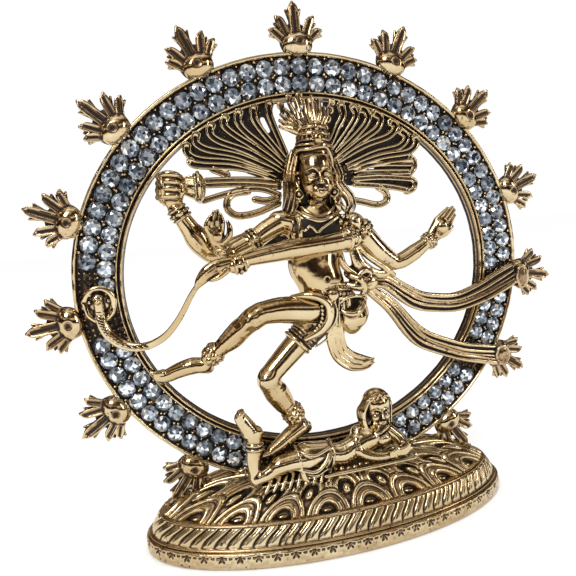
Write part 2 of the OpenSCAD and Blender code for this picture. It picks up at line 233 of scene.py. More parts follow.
def solid(name, p, faces, shade, mat, slot, *nodes, smooth=True):
    """A mesh piece from points in millimetres, with its hollow shading stored on it."""
    me = bpy.data.meshes.new(name)
    faces = np.asarray(faces)
    if faces.dtype != object:
        me.vertices.add(len(p))
        me.vertices.foreach_set("co", (np.asarray(p) * MM).astype(np.float32).ravel())
        n, w = faces.shape
        me.loops.add(n * w)
        me.loops.foreach_set("vertex_index", faces.astype(np.int32).ravel())
        me.polygons.add(n)
        me.polygons.foreach_set("loop_start", np.arange(0, n * w, w, dtype=np.int32))
        me.polygons.foreach_set("loop_total", np.full(n, w, np.int32))
        me.update(calc_edges=True)
        me.validate()
    else:
        me.from_pydata([tuple(v) for v in np.asarray(p) * MM], [], [list(f) for f in faces])
        me.update()
    me.polygons.foreach_set("use_smooth", np.full(len(me.polygons), smooth))
    if shade is not None:
        at = me.attributes.new("hollow", "FLOAT", "POINT")
        at.data.foreach_set("value", np.clip(shade, 0, 1).astype(np.float32))
    o = bpy.data.objects.new(name, me)
    bpy.context.scene.collection.objects.link(o)
    me.materials.append(mat)
    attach(o, "root")
    if nodes:
        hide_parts(*nodes)
    return o


def cast(node_name, p, faces, shade, mat=None, slot="figure_gold"):
    """A piece of gold that replaces the CAD node of that name."""
    return solid(node_name + "_cast", p, faces, shade, mat or GOLD, slot, node_name)


# ---------------------------------------------------------------- materials
def nodes_of(name):
    m = bpy.data.materials.new(name)
    m.use_nodes = True
    t = m.node_tree
    return m, t, t.nodes["Principled BSDF"]


def node(t, kind, **kw):
    n = t.nodes.new(kind)
    for k, v in kw.items():
        if k in n.inputs:
            n.inputs[k].default_value = v
        else:
            setattr(n, k, v)
    return n


def ramp(t, src, stops):
    r = node(t, "ShaderNodeValToRGB")
    while len(r.color_ramp.elements) < len(stops):
        r.color_ramp.elements.new(0.5)
    for e, (pos, col) in zip(r.color_ramp.elements, stops):
        e.position = pos
        e.color = (*col, 1) if len(col) == 3 else col
    t.links.new(src, r.inputs[0])
    return r.outputs[0]


def plug(t, value, socket):
    """Links an output to a socket, or sets a plain value on it."""
    if hasattr(value, "links"):
        t.links.new(value, socket)
    else:
        socket.default_value = value


def math_node(t, op, *values):
    n = node(t, "ShaderNodeMath", operation=op)
    for v, socket in zip(values, n.inputs):
        plug(t, v, socket)
    return n.outputs[0]


def noise(t, place, scale, detail):
    n = node(t, "ShaderNodeTexNoise", Scale=scale, Detail=detail)
    t.links.new(place, n.inputs["Vector"])
    return n.outputs["Fac"]


def mix_colour(t, share, a, b, blend="MIX"):
    n = node(t, "ShaderNodeMix", data_type="RGBA", blend_type=blend)
    for v, i in ((share, 0), (a, 6), (b, 7)):
        plug(t, v, n.inputs[i])
    return n.outputs[2]


def grey(v):
    return (v, v, v)


# Patina and painted shade: the brown fringe where the hollow value nears the black.
TARNISH_AND_SHADE_BROWN = (0.24, 0.1, 0.034, 1)  # the brown between bright gold and black


def gold_material(name, bright, warm, shade_and_patina, dark_from, dark_to, rough, grain=0.35, pits=0):
    """Plated metal: bright on the high spots, black in the hollows as patina and painted shade. Noise scales
    are per metre.
    """
    m, t, b = nodes_of(name)
    place = node(t, "ShaderNodeNewGeometry").outputs["Position"]
    hollow = node(t, "ShaderNodeAttribute", attribute_name="hollow").outputs["Fac"]
    blotch, fine, broad = noise(t, place, 260, 4), noise(t, place, 1900, 4), noise(t, place, 70, 2)
    amount = math_node(t, "ADD", hollow, math_node(t, "MULTIPLY_ADD", blotch, 0.22, -0.11))
    amount = math_node(t, "ADD", amount, math_node(t, "MULTIPLY_ADD", fine, 0.24, -0.12))
    spots = ramp(t, fine, [(0.6, grey(0)), (0.68, grey(1))])
    where = ramp(t, blotch, [(0.54, grey(0)), (0.64, grey(0.5))])
    amount = math_node(t, "ADD", amount, math_node(t, "MULTIPLY", spots, where))
    mask = ramp(t, amount, [(dark_from, grey(0)), (dark_to, grey(1))])
    edge = ramp(t, amount, [(max(dark_from - 0.16, 0), grey(0)), (dark_to - 0.04, grey(1))])
    tone = ramp(t, broad, [(0.38, bright), (0.62, warm)])
    tinted = mix_colour(t, edge, tone, TARNISH_AND_SHADE_BROWN)
    # Patina and painted shade: where the hollow value is high, the colour goes to near black, less metallic
    # and rougher.
    t.links.new(mix_colour(t, mask, tinted, (*shade_and_patina, 1)), b.inputs["Base Color"])
    t.links.new(ramp(t, mask, [(0, grey(1)), (1, grey(0.35))]), b.inputs["Metallic"])
    polish = math_node(t, "MULTIPLY_ADD", blotch, 0.16, rough - 0.08)
    t.links.new(math_node(t, "MULTIPLY_ADD", mask, 0.35, polish), b.inputs["Roughness"])
    height = math_node(t, "MULTIPLY_ADD", fine, 0.6, blotch)
    if pits:
        vor = node(t, "ShaderNodeTexVoronoi", Scale=1500)
        t.links.new(place, vor.inputs["Vector"])
        height = math_node(t, "ADD", height, math_node(t, "MULTIPLY", vor.outputs["Distance"], pits))
    bump_node = node(t, "ShaderNodeBump", Strength=grain, Distance=0.00008)
    t.links.new(height, bump_node.inputs["Height"])
    t.links.new(bump_node.outputs[0], b.inputs["Normal"])
    return m


def crystal_material():
    """Foil-backed cut glass: each facet has its own random tone, from near black to near white, as painted
    glints and dark reflections.
    """
    m, t, b = nodes_of("cut_crystal")
    facet = node(t, "ShaderNodeAttribute", attribute_name="facet").outputs["Fac"]
    place = node(t, "ShaderNodeNewGeometry").outputs["Position"]
    f = math_node(t, "MULTIPLY_ADD", noise(t, place, 1400, 2), 0.24, facet)
    f = math_node(t, "SUBTRACT", f, 0.12)
    col = ramp(t, f, [(0, (0.012, 0.018, 0.03)), (0.3, (0.06, 0.078, 0.105)), (0.52, (0.24, 0.285, 0.34)),
                      (0.72, (0.55, 0.61, 0.68)), (0.9, (0.95, 0.98, 1))])
    t.links.new(col, b.inputs["Base Color"])
    t.links.new(ramp(t, f, [(0, grey(0.2)), (1, grey(0.75))]), b.inputs["Metallic"])
    for key, value in (("Roughness", 0.08), ("Coat Weight", 1), ("Coat Roughness", 0.02), ("IOR", 1.6)):
        b.inputs[key].default_value = value
    return m


# Near black of patina and painted shade, mixed in where the hollow value is high.
SHADE_AND_PATINA_BLACK = (0.012, 0.007, 0.004)
GOLD = gold_material("antique_gold", (0.67, 0.55, 0.345), (0.54, 0.405, 0.22), SHADE_AND_PATINA_BLACK, 0.24, 0.48, 0.12)
GOLD_SOFT = gold_material("antique_gold_base", (0.7, 0.59, 0.38), (0.58, 0.45, 0.255), SHADE_AND_PATINA_BLACK, 0.18, 0.42,
                          0.2)
# Ring plate gold: goes black at lower hollow values, for blackening and painted shade on the channel floor.
BLACKENED_AND_SHADED_GOLD = gold_material("blackened_and_shaded_gold", (0.52, 0.4, 0.24), (0.42, 0.3, 0.16), (0.01, 0.007, 0.005),
                        0.12, 0.3, 0.26, grain=0.9, pits=0.6)
CRYSTAL = crystal_material()

# ---------------------------------------------------------------- ring and base, as swept sheets
RING_A, RING_B, RING_CZ = 45, 42, 49.5  # semi-axes of the ring's outer edge, and its middle height
FLOOR_Y = 0.75  # parts of the plate in front of this depth are the channel's floor
BASE_A, BASE_B = 37.5, 15.5  # semi-axes of the foot band
rng = np.random.default_rng(7)


def wrap_grid(n, m, close_v):
    """Quads of a grid that closes on itself along u, and along v if asked."""
    i, j = np.meshgrid(np.arange(n), np.arange(m if close_v else m - 1), indexing="ij")
    i2, j2 = (i + 1) % n, (j + 1) % m
    return np.stack([i * m + j, i2 * m + j, i2 * m + j2, i * m + j2], -1).reshape(-1, 4)


def blur(h, steps, wrap_v=False):
    """A wide local mean of a relief, to tell hollows from high spots."""
    g = h.copy()
    for _ in range(steps):
        g = (g + np.roll(g, 1, 0) + np.roll(g, -1, 0)) / 3
        up, dn = np.roll(g, 1, 1), np.roll(g, -1, 1)
        if not wrap_v:
            up[:, 0], dn[:, -1] = g[:, 0], g[:, -1]
        g = (g + up + dn) / 3
    return g


def shade_of(h, gain, steps, wrap_v=False):
    return np.clip((blur(h, steps, wrap_v) - h) * gain + 0.12, 0, 1)


def outward(q, p):
    """Turns the faces round if they face inwards."""
    a, b, c, e = (p[q[:, i]] for i in range(4))
    vol = (np.einsum("ij,ij->i", a, np.cross(b, c)) + np.einsum("ij,ij->i", a, np.cross(c, e))).sum()
    return q if vol > 0 else q[:, ::-1]


def even_angles(a, b, n):
    """n angles at equal steps of arc round an ellipse, from the top."""
    t = np.linspace(0, 2 * pi, 4001)
    s = np.concatenate([[0], np.cumsum(np.hypot(a * np.diff(np.sin(t)), b * np.diff(np.cos(t))))])
    return np.interp(np.arange(n) / n * s[-1], s, t), s[-1]


def dense(rows, step, axes=slice(None)):
    """Rows along an outline at a fixed step, measured over some of their axes."""
    p = np.array(rows, float)
    out = []
    for a, b in zip(p[:-1], p[1:]):
        k = max(1, int(np.ceil(np.linalg.norm((b - a)[axes]) / step)))
        out += [a + (b - a) * i / k for i in range(k)]
    return np.array(out + [p[-1]])


def ring_points(th, inset, y):
    """Points at angles th round the ring, that far in from its outer edge, at depth y."""
    x, z = (RING_A - inset) * np.sin(th)[:, None], RING_CZ + (RING_B - inset) * np.cos(th)[:, None]
    return np.stack([x, y, z], -1).reshape(-1, 3)


def ring_plate():
    """The channel that holds the stones, with a pitted floor."""
    count, step, floor_shade, wall_bright = 1300, 0.18, 0.22, -0.07
    th, _ = even_angles(RING_A, RING_B, count)
    section = [(0.05, 0.6), (8.65, 0.6), (8.7, 1), (8.5, 2.1), (8.2, 2.3), (0.6, 2.3), (0.2, 2.1), (0, 1)]
    sec = dense(section + section[:1], step)[:-1]
    o, y = (np.broadcast_to(sec[:, i], (count, len(sec))) for i in (0, 1))
    r = blur(np.random.default_rng(3).normal(size=o.shape), 2, True)
    grains = np.clip((r - 0.14) * 2.4, 0, 0.34) + np.clip(r, -1, 0) * 0.2
    h = np.where((y < FLOOR_Y) & (o > 0.9) & (o < 7.5), grains, 0)
    p = ring_points(th, o, y - h)
    # Painted shade and blackening: the channel floor between the stones is darker, the walls a little
    # lighter.
    shade = shade_of(h, 3, 5, True) + np.where(y - h < FLOOR_Y, floor_shade, wall_bright)
    q = outward(wrap_grid(count, len(sec), True), p)
    cast("ring_plate", p, q, shade.ravel(), BLACKENED_AND_SHADED_GOLD, "antiqued_gold")


def bead_lines(node_name, sections):
    """Smooth raised lines round the ring: each is (inset, y, radius across, radius deep)."""
    ps, qs, off = [], [], 0
    sides = 18
    th, _ = even_angles(RING_A, RING_B, 720)
    a = np.linspace(0, 2 * pi, sides, endpoint=False)
    for inset, y0, across, deep in sections:
        o = inset + across * np.cos(a)[None, :] + 0 * th[:, None]
        wobble = 0.03 * np.sin(th * 37)[:, None] + 0.02 * np.sin(th * 91)[:, None]
        p = ring_points(th, o, y0 + deep * np.sin(a)[None, :] + wobble)
        ps.append(p)
        qs.append(outward(wrap_grid(len(th), sides, True), p) + off)
        off += len(p)
    p = np.vstack(ps)
    # Painted shade: darker towards the back, with a little brown added all over.
    cast(node_name, p, np.vstack(qs), np.clip((p[:, 1] + 0.1) * 1.1 + 0.13, 0, 0.85))


ring_plate()
bead_lines("ring_outer_rim", [(0.42, 0.35, 0.42, 0.75), (1.02, 0.55, 0.13, 0.35)])
bead_lines("ring_inner_rim", [(7.6, 0.35, 0.25, 0.65), (8.4, 0.45, 0.3, 0.75), (8.62, 1.75, 0.14, 0.38)])


# ---------------------------------------------------------------- stones
STONE_D = 3.2
STONE_ROWS = {"outer": (2.6, 80), "inner": (5.85, 74)}  # inset from the ring's edge, places round it
# (side of the ring, lowest, highest) where no stone sits: under the snake and the sashes
GAPS = {"outer": [(-1, 42.5, 53), (1, 42, 47.5), (1, 25.5, 30)],
        "inner": [(-1, 39, 51), (1, 40.5, 45.5), (1, 27, 31.5)]}


def cut_stone(r):
    """Points and faces of a round brilliant, table to -Y."""
    circle = lambda n, share, y, turn=0: [(share * r * cos(2 * pi * (i + turn) / n), y,
                                           share * r * sin(2 * pi * (i + turn) / n)) for i in range(n)]
    p = circle(8, 0.54, -0.95) + circle(8, 0.8, -0.7, 0.5) + circle(16, 1, -0.25) + circle(16, 1, -0.1)
    p += [(0, 0.58, 0), (0, -0.95, 0)]
    f = [(49, (i + 1) % 8, i) for i in range(8)]
    f += [(i, (i + 1) % 8, 8 + i) for i in range(8)]
    for i in range(8):
        f.append((i, 8 + i, 16 + 2 * i, 8 + (i - 1) % 8))
        f.append((8 + i, 16 + 2 * i + 1, 16 + 2 * i))
        f.append((8 + i, 16 + (2 * i + 2) % 16, 16 + 2 * i + 1))
    for i in range(16):
        j = (i + 1) % 16
        f.append((16 + i, 16 + j, 32 + j, 32 + i))
        f.append((32 + i, 32 + j, 48))
    return np.array(p), f


def on_ring(t, inset, y):
    return V((RING_A - inset) * sin(t), y, RING_CZ + (RING_B - inset) * cos(t))


def seats(key, bare=False):
    """Places along a row: those with a stone, or with bare the empty ones. The base covers the lowest."""
    inset, count = STONE_ROWS[key]
    for i in range(count):
        t = 2 * pi * i / count
        x, _, z = on_ring(t, inset, 0)
        covered = (abs(x) < 15 and z < 25) or z < 13
        empty = covered or any(x * s > 0 and lo < z < hi for s, lo, hi in GAPS[key])
        if empty == bare:
            yield t, x, z


def stone_row(key):
    base, faces = cut_stone(STONE_D / 2)
    ps, fs, tone = [], [], []
    for k, (_, x, z) in enumerate(seats(key)):
        m = (Matrix.Rotation(rng.normal(0, 0.06), 3, "X") @ Matrix.Rotation(rng.normal(0, 0.06), 3, "Z")
             @ Matrix.Rotation(rng.uniform(0, pi), 3, "Y"))
        ps.append(base @ np.array(m).T * rng.uniform(0.97, 1) + V(x, rng.normal(0.35, 0.04), z))
        # Painted glints and dark reflections: each facet gets a random tone round the stone's mid value.
        mid = rng.normal(0.46, 0.07)
        for f in faces:
            fs.append([len(base) * k + v for v in f])
            tone.append(np.clip(rng.normal(mid, 0.32), 0, 1))
    arr = np.empty(len(fs), object)
    arr[:] = fs
    node_name = "stones_%s_row" % key
    o = solid(node_name + "_cut", np.vstack(ps), arr, None, CRYSTAL, "crystal", node_name, smooth=False)
    at = o.data.attributes.new("facet", "FLOAT", "FACE")
    at.data.foreach_set("value", np.array(tone, np.float32))


def prongs():
    """Little round grains that hold the stones, and grains on the bare stretches of the channel."""
    ps = []
    round_it, down = np.linspace(0, 2 * pi, 8, endpoint=False), np.linspace(0.01, 0.62, 5) * pi
    u, v = np.meshgrid(round_it, down, indexing="ij")
    ball = np.stack([np.sin(v) * np.cos(u), -np.cos(v), np.sin(v) * np.sin(u)], -1).reshape(-1, 3)
    g = np.random.default_rng(9)
    for key, (inset, count) in STONE_ROWS.items():
        for t, _, _ in seats(key):
            for d, r in ((-1.45, 0.3), (0, 0.22), (1.45, 0.3)):
                at = on_ring(t + pi / count, inset - d, 0.2 + g.uniform(-0.05, 0.1))
                ps.append(ball * V(r, 0.5, r) * g.uniform(0.85, 1.15) + at)
        for t, _, z in seats(key, True):
            for dt, d in ((i, j) for i in (-0.33, 0, 0.33) for j in (-1.35, -0.45, 0.45, 1.35)):
                r = g.uniform(0.2, 0.3)
                at = on_ring(t + 2 * pi * dt / count, inset - d, 0.5 + g.uniform(-0.05, 0.1))
                if z > 12:
                    ps.append(ball * V(r, 0.3, r) + at)
    p = np.vstack(ps)
    q = np.vstack([wrap_grid(8, 5, False) + len(ball) * i for i in range(len(ps))])
    # Painted shade: the grains are darker towards the back.
    solid("prong_grains_cast", p, q, np.clip((p[:, 1] + 0.05) * 0.9, 0, 0.8), GOLD, "figure_gold")


stone_row("outer")
stone_row("inner")
prongs()


# ---------------------------------------------------------------- base relief
def oval_piece(name, node_name, rows, step, relief, n=1100, gain=3, steps=6):
    """A closed body of ellipses: rows are (semi-axis x, semi-axis y, z, relief on or off)."""
    rows = dense(rows, step, slice(1, 3))
    th, length = even_angles(BASE_A, BASE_B, n)
    a, b, z, on = (np.broadcast_to(rows[:, i], (n, len(rows))) for i in range(4))
    v = np.concatenate([[0], np.cumsum(np.linalg.norm(np.diff(rows[:, 1:3], axis=0), axis=1))])
    s = np.arange(n) / n * length
    h = relief(s[:, None] + 0 * a, v[None, :] + 0 * a, length) * on
    dz, db = np.gradient(rows[:, 2]), np.gradient(rows[:, 1])
    ln = np.hypot(dz, db) + 1e-9
    up, out = -db / ln, dz / ln
    sx, sy = np.sin(th)[:, None], np.cos(th)[:, None]
    g = np.hypot(sx / BASE_A, sy / BASE_B)
    nx, ny = sx / BASE_A / g, sy / BASE_B / g
    p = np.stack([a * sx + nx * h * out, -(b * sy + ny * h * out), z + h * up], -1).reshape(-1, 3)
    q = outward(wrap_grid(n, len(rows), False), p)
    # Patina and painted shade: low spots of the relief are darker than their surroundings.
    solid(name, p, q, shade_of(h, gain, steps).ravel(), GOLD_SOFT, "base_gold", node_name)


def bump(x, w):
    return np.clip(1 - (x / w) ** 2, 0, None) ** 0.5


def rosette_relief(s, v, length):
    """Small stamped stars near the top of the foot band, with a dot between each two."""
    count = round(length / 3.3)
    cell = np.floor(s / length * count)
    du = ((s / length * count) % 1 - 0.5) * length / count
    dv = v - 17.6
    h = np.zeros_like(s)
    for ang in (0, 60, 120):
        c, d = cos(radians(ang)), sin(radians(ang))
        along, across = du * c + dv * d, -du * d + dv * c
        h = np.minimum(h, -0.3 * np.clip(1 - (across / 0.22) ** 2, 0, 1) * (np.abs(along) < 0.95))
    dots = -0.25 * np.clip(1 - ((np.abs(du) - 1.45) ** 2 + dv**2) / 0.05, 0, 1)
    return np.minimum(h, dots) + 0.03 * np.sin(cell * 2.4 + v * 3)


def rope_relief(s, v, length):
    """Slanted leaves with raised borders."""
    count = 72
    t = np.clip((v - 15.6) / 4.4, 0, 1)
    u = ((s / length * count - 1.05 * t + 0.14 * np.sin(t * 2 * pi)) % 1) - 0.5
    leaf = np.clip(1 - (u / 0.47) ** 4, 0, 1) ** 0.7 * bump(t - 0.52, 0.5)
    groove = -0.14 * np.exp(-(((u + 0.12) / 0.06) ** 2)) * bump(t - 0.5, 0.36)
    return 0.55 * leaf + groove - 0.12


def scale_relief(s, v, length):
    """Upright fish-scale arches, each of nested rings round a hollow with a boss in it; the hollow is
    darkened as painted shade and patina.
    """
    pitch = length / 18
    top = np.full(s.shape, -1.0)
    for row in (3, 2, 1, 0):
        wide = 8.7 - 0.55 * row
        u = (s / pitch + 0.5 * (row % 2)) % 1 - 0.5
        x, y = u * wide, (v - 0.35 - 3.7 * row)
        d = np.hypot(x, y * 1.04)
        inside = (d < 4.35) & (y > -0.6)
        rings = (0.6 * bump(d - 3.75, 0.52) + 0.3 * bump(d - 2.98, 0.2) + 0.65 * bump(d - 2.3, 0.52)
                 - 0.75 * (d < 1.7) + 0.34 * bump(np.hypot(x * 0.5, y - 0.45), 0.42))
        top = np.where(inside, rings, top)
        bead = bump(np.hypot((np.abs(u) - 0.5) * wide, y - 3.5), 0.95)
        top = np.maximum(top, np.where(bead > 0, bead, -1.0))
    return np.where(top <= -1, -0.1, top) * np.clip((13 - v) / 2.5, 0, 1)


oval_piece("foot_band_cast", "base_foot_band",
           [(22, 0.01, 0, 0), (36.9, 14.9, 0, 0), (37.3, 15.3, 0.12, 0), (37.5, 15.5, 0.45, 0),
            (37.5, 15.5, 0.8, 1), (37.5, 15.5, 2.55, 1), (37.35, 15.35, 2.9, 0), (37, 15, 3, 0),
            (22, 0.01, 3, 0)], 0.16, rosette_relief)
oval_piece("rope_band_cast", "base_rope_band",
           [(21, 0.01, 3, 0), (36.6, 14.6, 3, 0), (36.9, 14.9, 3.15, 0), (36.9, 14.9, 3.4, 0),
            (36.5, 14.5, 3.55, 0), (36.3, 14.3, 3.55, 1), (34.5, 12.9, 6.3, 1), (34.4, 12.8, 6.35, 0),
            (34.6, 13, 6.5, 0), (34.6, 13, 6.75, 0), (34.3, 12.7, 6.9, 0), (22, 0.01, 6.9, 0)], 0.15,
           rope_relief)
oval_piece("lotus_tier_cast", "lotus_tier",
           [(34, 12.4, 6.7, 0), (33.7, 12.1, 6.8, 1), (31.2, 11.2, 8.2, 1), (28, 10.2, 9.5, 1),
            (23.6, 8.9, 10.6, 1), (18.5, 7.3, 11.25, 1), (14, 4, 11.5, 1), (11, 0.02, 11.6, 0)], 0.13,
           scale_relief, n=1150, gain=1.6, steps=10)

# ---------------------------------------------------------------- sculpting helpers
def lift(pts, y):
    """Points (x, z) set at depth y; a pair of depths runs from the first to the last."""
    ys = np.linspace(*y, len(pts)) if isinstance(y, tuple) else np.full(len(pts), y)
    return [(p[0], d, p[1]) for p, d in zip(pts, ys)]


def sideways(p, off):
    """A dense curve moved across its own direction in the XZ plane."""
    t = np.gradient(p, axis=0)
    n = np.stack([-t[:, 2], 0 * t[:, 1], t[:, 0]], -1)
    n /= np.linalg.norm(n, axis=1)[:, None] + 1e-9
    return p + n * np.reshape(off, (-1, 1))


def ribbed(c, pts, offs, r, k=0.05, y=0, cut=False):
    """Parallel lines along a smooth curve, raised or cut. offs may be numbers or (at start, at end) pairs."""
    p, _ = spline(pts, 1, 6)
    for off in offs:
        w = np.linspace(*off, len(p)) if isinstance(off, tuple) else np.full(len(p), off)
        q = sideways(p, w)
        q[:, 1] += y
        c.tube(q, r if np.isscalar(r) else np.linspace(*r, len(q)), k=k, cut=cut, fine=1)


def hand(c, wrist, aim, palm, size, curl, spread, thumb):
    """A stylised hand. The fingers point along aim, the palm faces palm; thumb is how far it stands out."""
    a = V(*aim) / np.linalg.norm(aim)
    f = V(*palm) - a * (V(*palm) @ a)
    f /= np.linalg.norm(f)
    s = np.cross(a, f)
    w = V(*wrist)
    P = lambda u, v, q: w + size * (a * u + s * v + f * q)
    c.cone(P(0.2, 0, 0), P(2, 0, 0), 0.85 * size, 1.15 * size, k=0.25, flat=0.6, axis=f)
    for v, ln in ((-0.84, 2), (-0.28, 2.5), (0.28, 2.4), (0.84, 1.9)):
        d = v * spread
        p0, p1 = P(2.2, v, 0.05), P(2.2 + ln * 0.5, v + d, 0.1 + curl * 0.5)
        p2 = P(2.2 + ln * (1 - 0.25 * curl), v + d * 1.8, 0.1 + curl * 1.6)
        c.tube([p0, p1, p2], [0.36 * size, 0.33 * size, 0.22 * size], k=0.08)
    t = thumb
    c.tube([P(0.7, 0.9 * t, 0.1), P(1.6, 1.6 * t, 0.4), P(2.6, 1.7 * t, 0.7)],
           [0.42 * size, 0.36 * size, 0.22 * size], k=0.2)


def beads(c, pts, r, step):
    """A string of beads along a curve."""
    p, _ = spline(pts, 1, 8)
    s = np.concatenate([[0], np.cumsum(np.linalg.norm(np.diff(p, axis=0), axis=1))])
    n = max(2, int(round(s[-1] / step)))
    for t in np.linspace(0, s[-1], n + 1):
        q = [np.interp(t, s, p[:, i]) for i in range(3)]
        c.ball(q, r, 0.04)


def cuff(c, at, along, r, w, bead):
    """A bracelet: a row of beads between two plain rings, with a stud in front."""
    a = V(*along) / np.linalg.norm(along)
    at, front = V(*at), V(0, -1, 0)
    c.cone(at - a * w * 0.8, at + a * w * 0.8, r + 0.05, k=0.05)
    n = max(8, int(round(2 * pi * (r + 0.2) / (bead * 2.1))))
    c.hoop(at, a, r + 0.2, 0.12, 0.05, beads=n, bead=bead)
    for s in (-1, 1):
        c.hoop(at + a * w * s * 0.72, a, r + 0.16, 0.27, 0.05)
    f = front - a * (front @ a)
    f /= np.linalg.norm(f)
    c.ball(at + f * (r + 0.35), (0.62, 0.45, 0.62), 0.06)


# ---------------------------------------------------------------- flames
# (root across, lean in degrees, length, half width) of each tongue
TONGUES = ((-2.6, -44, 3.7, 0.8), (-1.5, -20, 5.5, 0.9), (0, 1, 7.6, 1.15), (1.5, 22, 5.2, 0.9),
           (2.6, 46, 3.6, 0.8))
FLAMES, FLAME_STEP = 13, 24  # fifteen places round the ring, and the base takes two


def flame_skin(seed):
    """One palmette: five grooved tongues on a web, behind a domed bead. Local X along the ring, Z outward."""
    g = np.random.default_rng(seed)
    c = Clay((-6.6, -3.2, -3.2), (6.6, 2.6, 9.4), 0.13)
    c.ball((0, 0.9, 0.9), (3.2, 0.6, 3.3))
    tongues = []
    for x0, ang, ln, w in TONGUES:
        ang = radians(ang + g.uniform(-4, 4))
        ln *= g.uniform(0.94, 1.06)
        e = 1 if ang > 0 else -1
        d, s, y = V(sin(ang), 0, cos(ang)), V(cos(ang), 0, -sin(ang)), g.uniform(0.3, 0.6)
        root = V(x0 * 0.8, y, 0.4)
        near, tip = root + d * ln * 0.78, root + d * ln + V(0, -0.2, 0) + s * e * 0.35 * (x0 != 0)
        c.tube([root, root + d * ln * 0.4, near, tip], [w * 0.8, w * 0.9, w * 0.95, 0.32], k=0.04, flat=0.6)
        for q in (-1, 1):
            side = s * q
            rim = side * w * 0.7 + V(0, -w * 0.45, 0)
            c.tube([root + rim, near + rim, tip + V(0, -0.1, 0)], [0.2, 0.23, 0.2], k=0.04)
            if q == e or x0 == 0:
                barb = [root + d * ln * 0.58 + side * w * 0.6, root + d * ln * 0.82 + side * (w + 0.25)]
                c.tube(barb, [0.4, 0.24], k=0.08)
        tongues.append((root, d, s, ln, w))
    c.ball((0, -0.1, -0.2), (2.9, 1.9, 2.2), 0.08)
    c.ball((0.2, -2.2, 0.1), (0.85, 0.6, 0.8), 0.3, cut=True)
    p, q, shade = c.skin()
    # Painted shade: the groove down each tongue and the pit in the bead are darker; every flame is also a
    # little browner.
    shade = shade + 0.11
    for root, d, s, ln, w in tongues:
        u, v = (p - root) @ d, np.abs((p - root) @ s)
        deep = np.clip(1.5 - v / (w * 0.34), 0, 1) * (u > 1.2) * (u < ln * 0.9) * (p[:, 1] < root[1])
        shade = np.maximum(shade, 0.55 * deep)
    pit_shade = np.clip(1.4 - np.hypot(p[:, 0] - 0.2, p[:, 2] - 0.1) / 0.8, 0, 1) * (p[:, 1] < -1)
    return p, q, np.maximum(shade, 0.5 * pit_shade)


def flames():
    """Three palmettes in turn, each set outward from the ring and mirrored on its left side."""
    skins = [flame_skin(seed) for seed in (11, 12, 13)]
    for i in range(FLAMES):
        k = i - FLAMES // 2
        t = radians(FLAME_STEP * k)
        turn = atan2(sin(t) * RING_B, cos(t) * RING_A)
        p, q, shade = skins[i % 3]
        side = -1 if k < 0 else 1
        x, y, z = p[:, 0] * side, p[:, 1], p[:, 2] - 0.1
        w = np.stack([x * cos(turn) + z * sin(turn), y, -x * sin(turn) + z * cos(turn)], -1)
        cast("flame_%02d" % (i + 1), w + on_ring(t, -1.4, 0.1), q if side > 0 else q[:, ::-1], shade)


flames()

# ---------------------------------------------------------------- flowing hair
HAIR_LEFT = [
    [(-4, 72.8), (-6.1, 78.6), (-6.6, 80.8), (-6.2, 82.3)],
    [(-4.3, 71.9), (-8.4, 77.4), (-9.6, 79.8), (-9.3, 81.6)],
    [(-4.6, 70.9), (-8.2, 74.4), (-11.4, 77.2), (-12.6, 79.2), (-12.1, 80.9)],
    [(-4.4, 70), (-9, 73.6), (-13.7, 76.9), (-15.2, 78.6), (-14.7, 80)],
    [(-5.3, 69.8), (-11, 73.4), (-16.3, 75.6), (-17.9, 77.2), (-17.4, 78.7)],
    [(-6.7, 69.9), (-13, 72.8), (-18.6, 74.2), (-20.6, 75.6), (-20.3, 77.1)],
    [(-7.6, 69.3), (-14, 71.6), (-20, 72.4), (-22.2, 73.6), (-22.3, 75.3)],
    [(-6.4, 68.2), (-10, 69.8), (-14, 70.8), (-20.8, 71.5), (-22, 72.4)],
]
HAIR_RIGHT = [
    [(4.7, 73.8), (6.6, 77.2), (7.9, 79.4), (7.6, 81.7)],
    [(5.6, 72.9), (9, 76.8), (10.6, 79.2), (10, 81.2)],
    [(6.2, 72.3), (10.6, 75.8), (13, 78.4), (12.6, 80.2), (11.4, 80.6)],
    [(5.7, 71), (11, 74.4), (14.9, 76.8), (15.6, 78.8), (14.2, 79.8)],
    [(5.9, 70.7), (12, 73.6), (17.2, 75.2), (18.8, 77), (17.6, 77.9)],
    [(8, 69.8), (14, 72), (19.2, 73), (21, 74.8), (19.6, 76.2)],
    [(8.3, 69.4), (15, 71.2), (21, 71.9), (23, 73.4), (22.8, 74.9)],
    [(9.5, 68.8), (13, 69.9), (16.5, 70.5), (21.7, 70.9)],
]


def hair_strand(c, pts):
    """A strand with two raised edges that spread towards its rounded tip."""
    c.tube(lift(pts, 0.45), 0.62, k=0.05, flat=0.8, fine=6)
    near, far, radii = 0.46 * 0.8, 0.46 * 1.25, (0.25 * 0.9, 0.25 * 1.1)
    ribbed(c, lift(pts, -0.35), [(-near, -far), (near, far)], radii)
    c.tube(lift(pts, 1.1), 0.42, fine=6)
    e = pts[-1]
    c.ball((e[0], -0.15, e[1]), (0.6, 0.45, 0.6), 0.25)


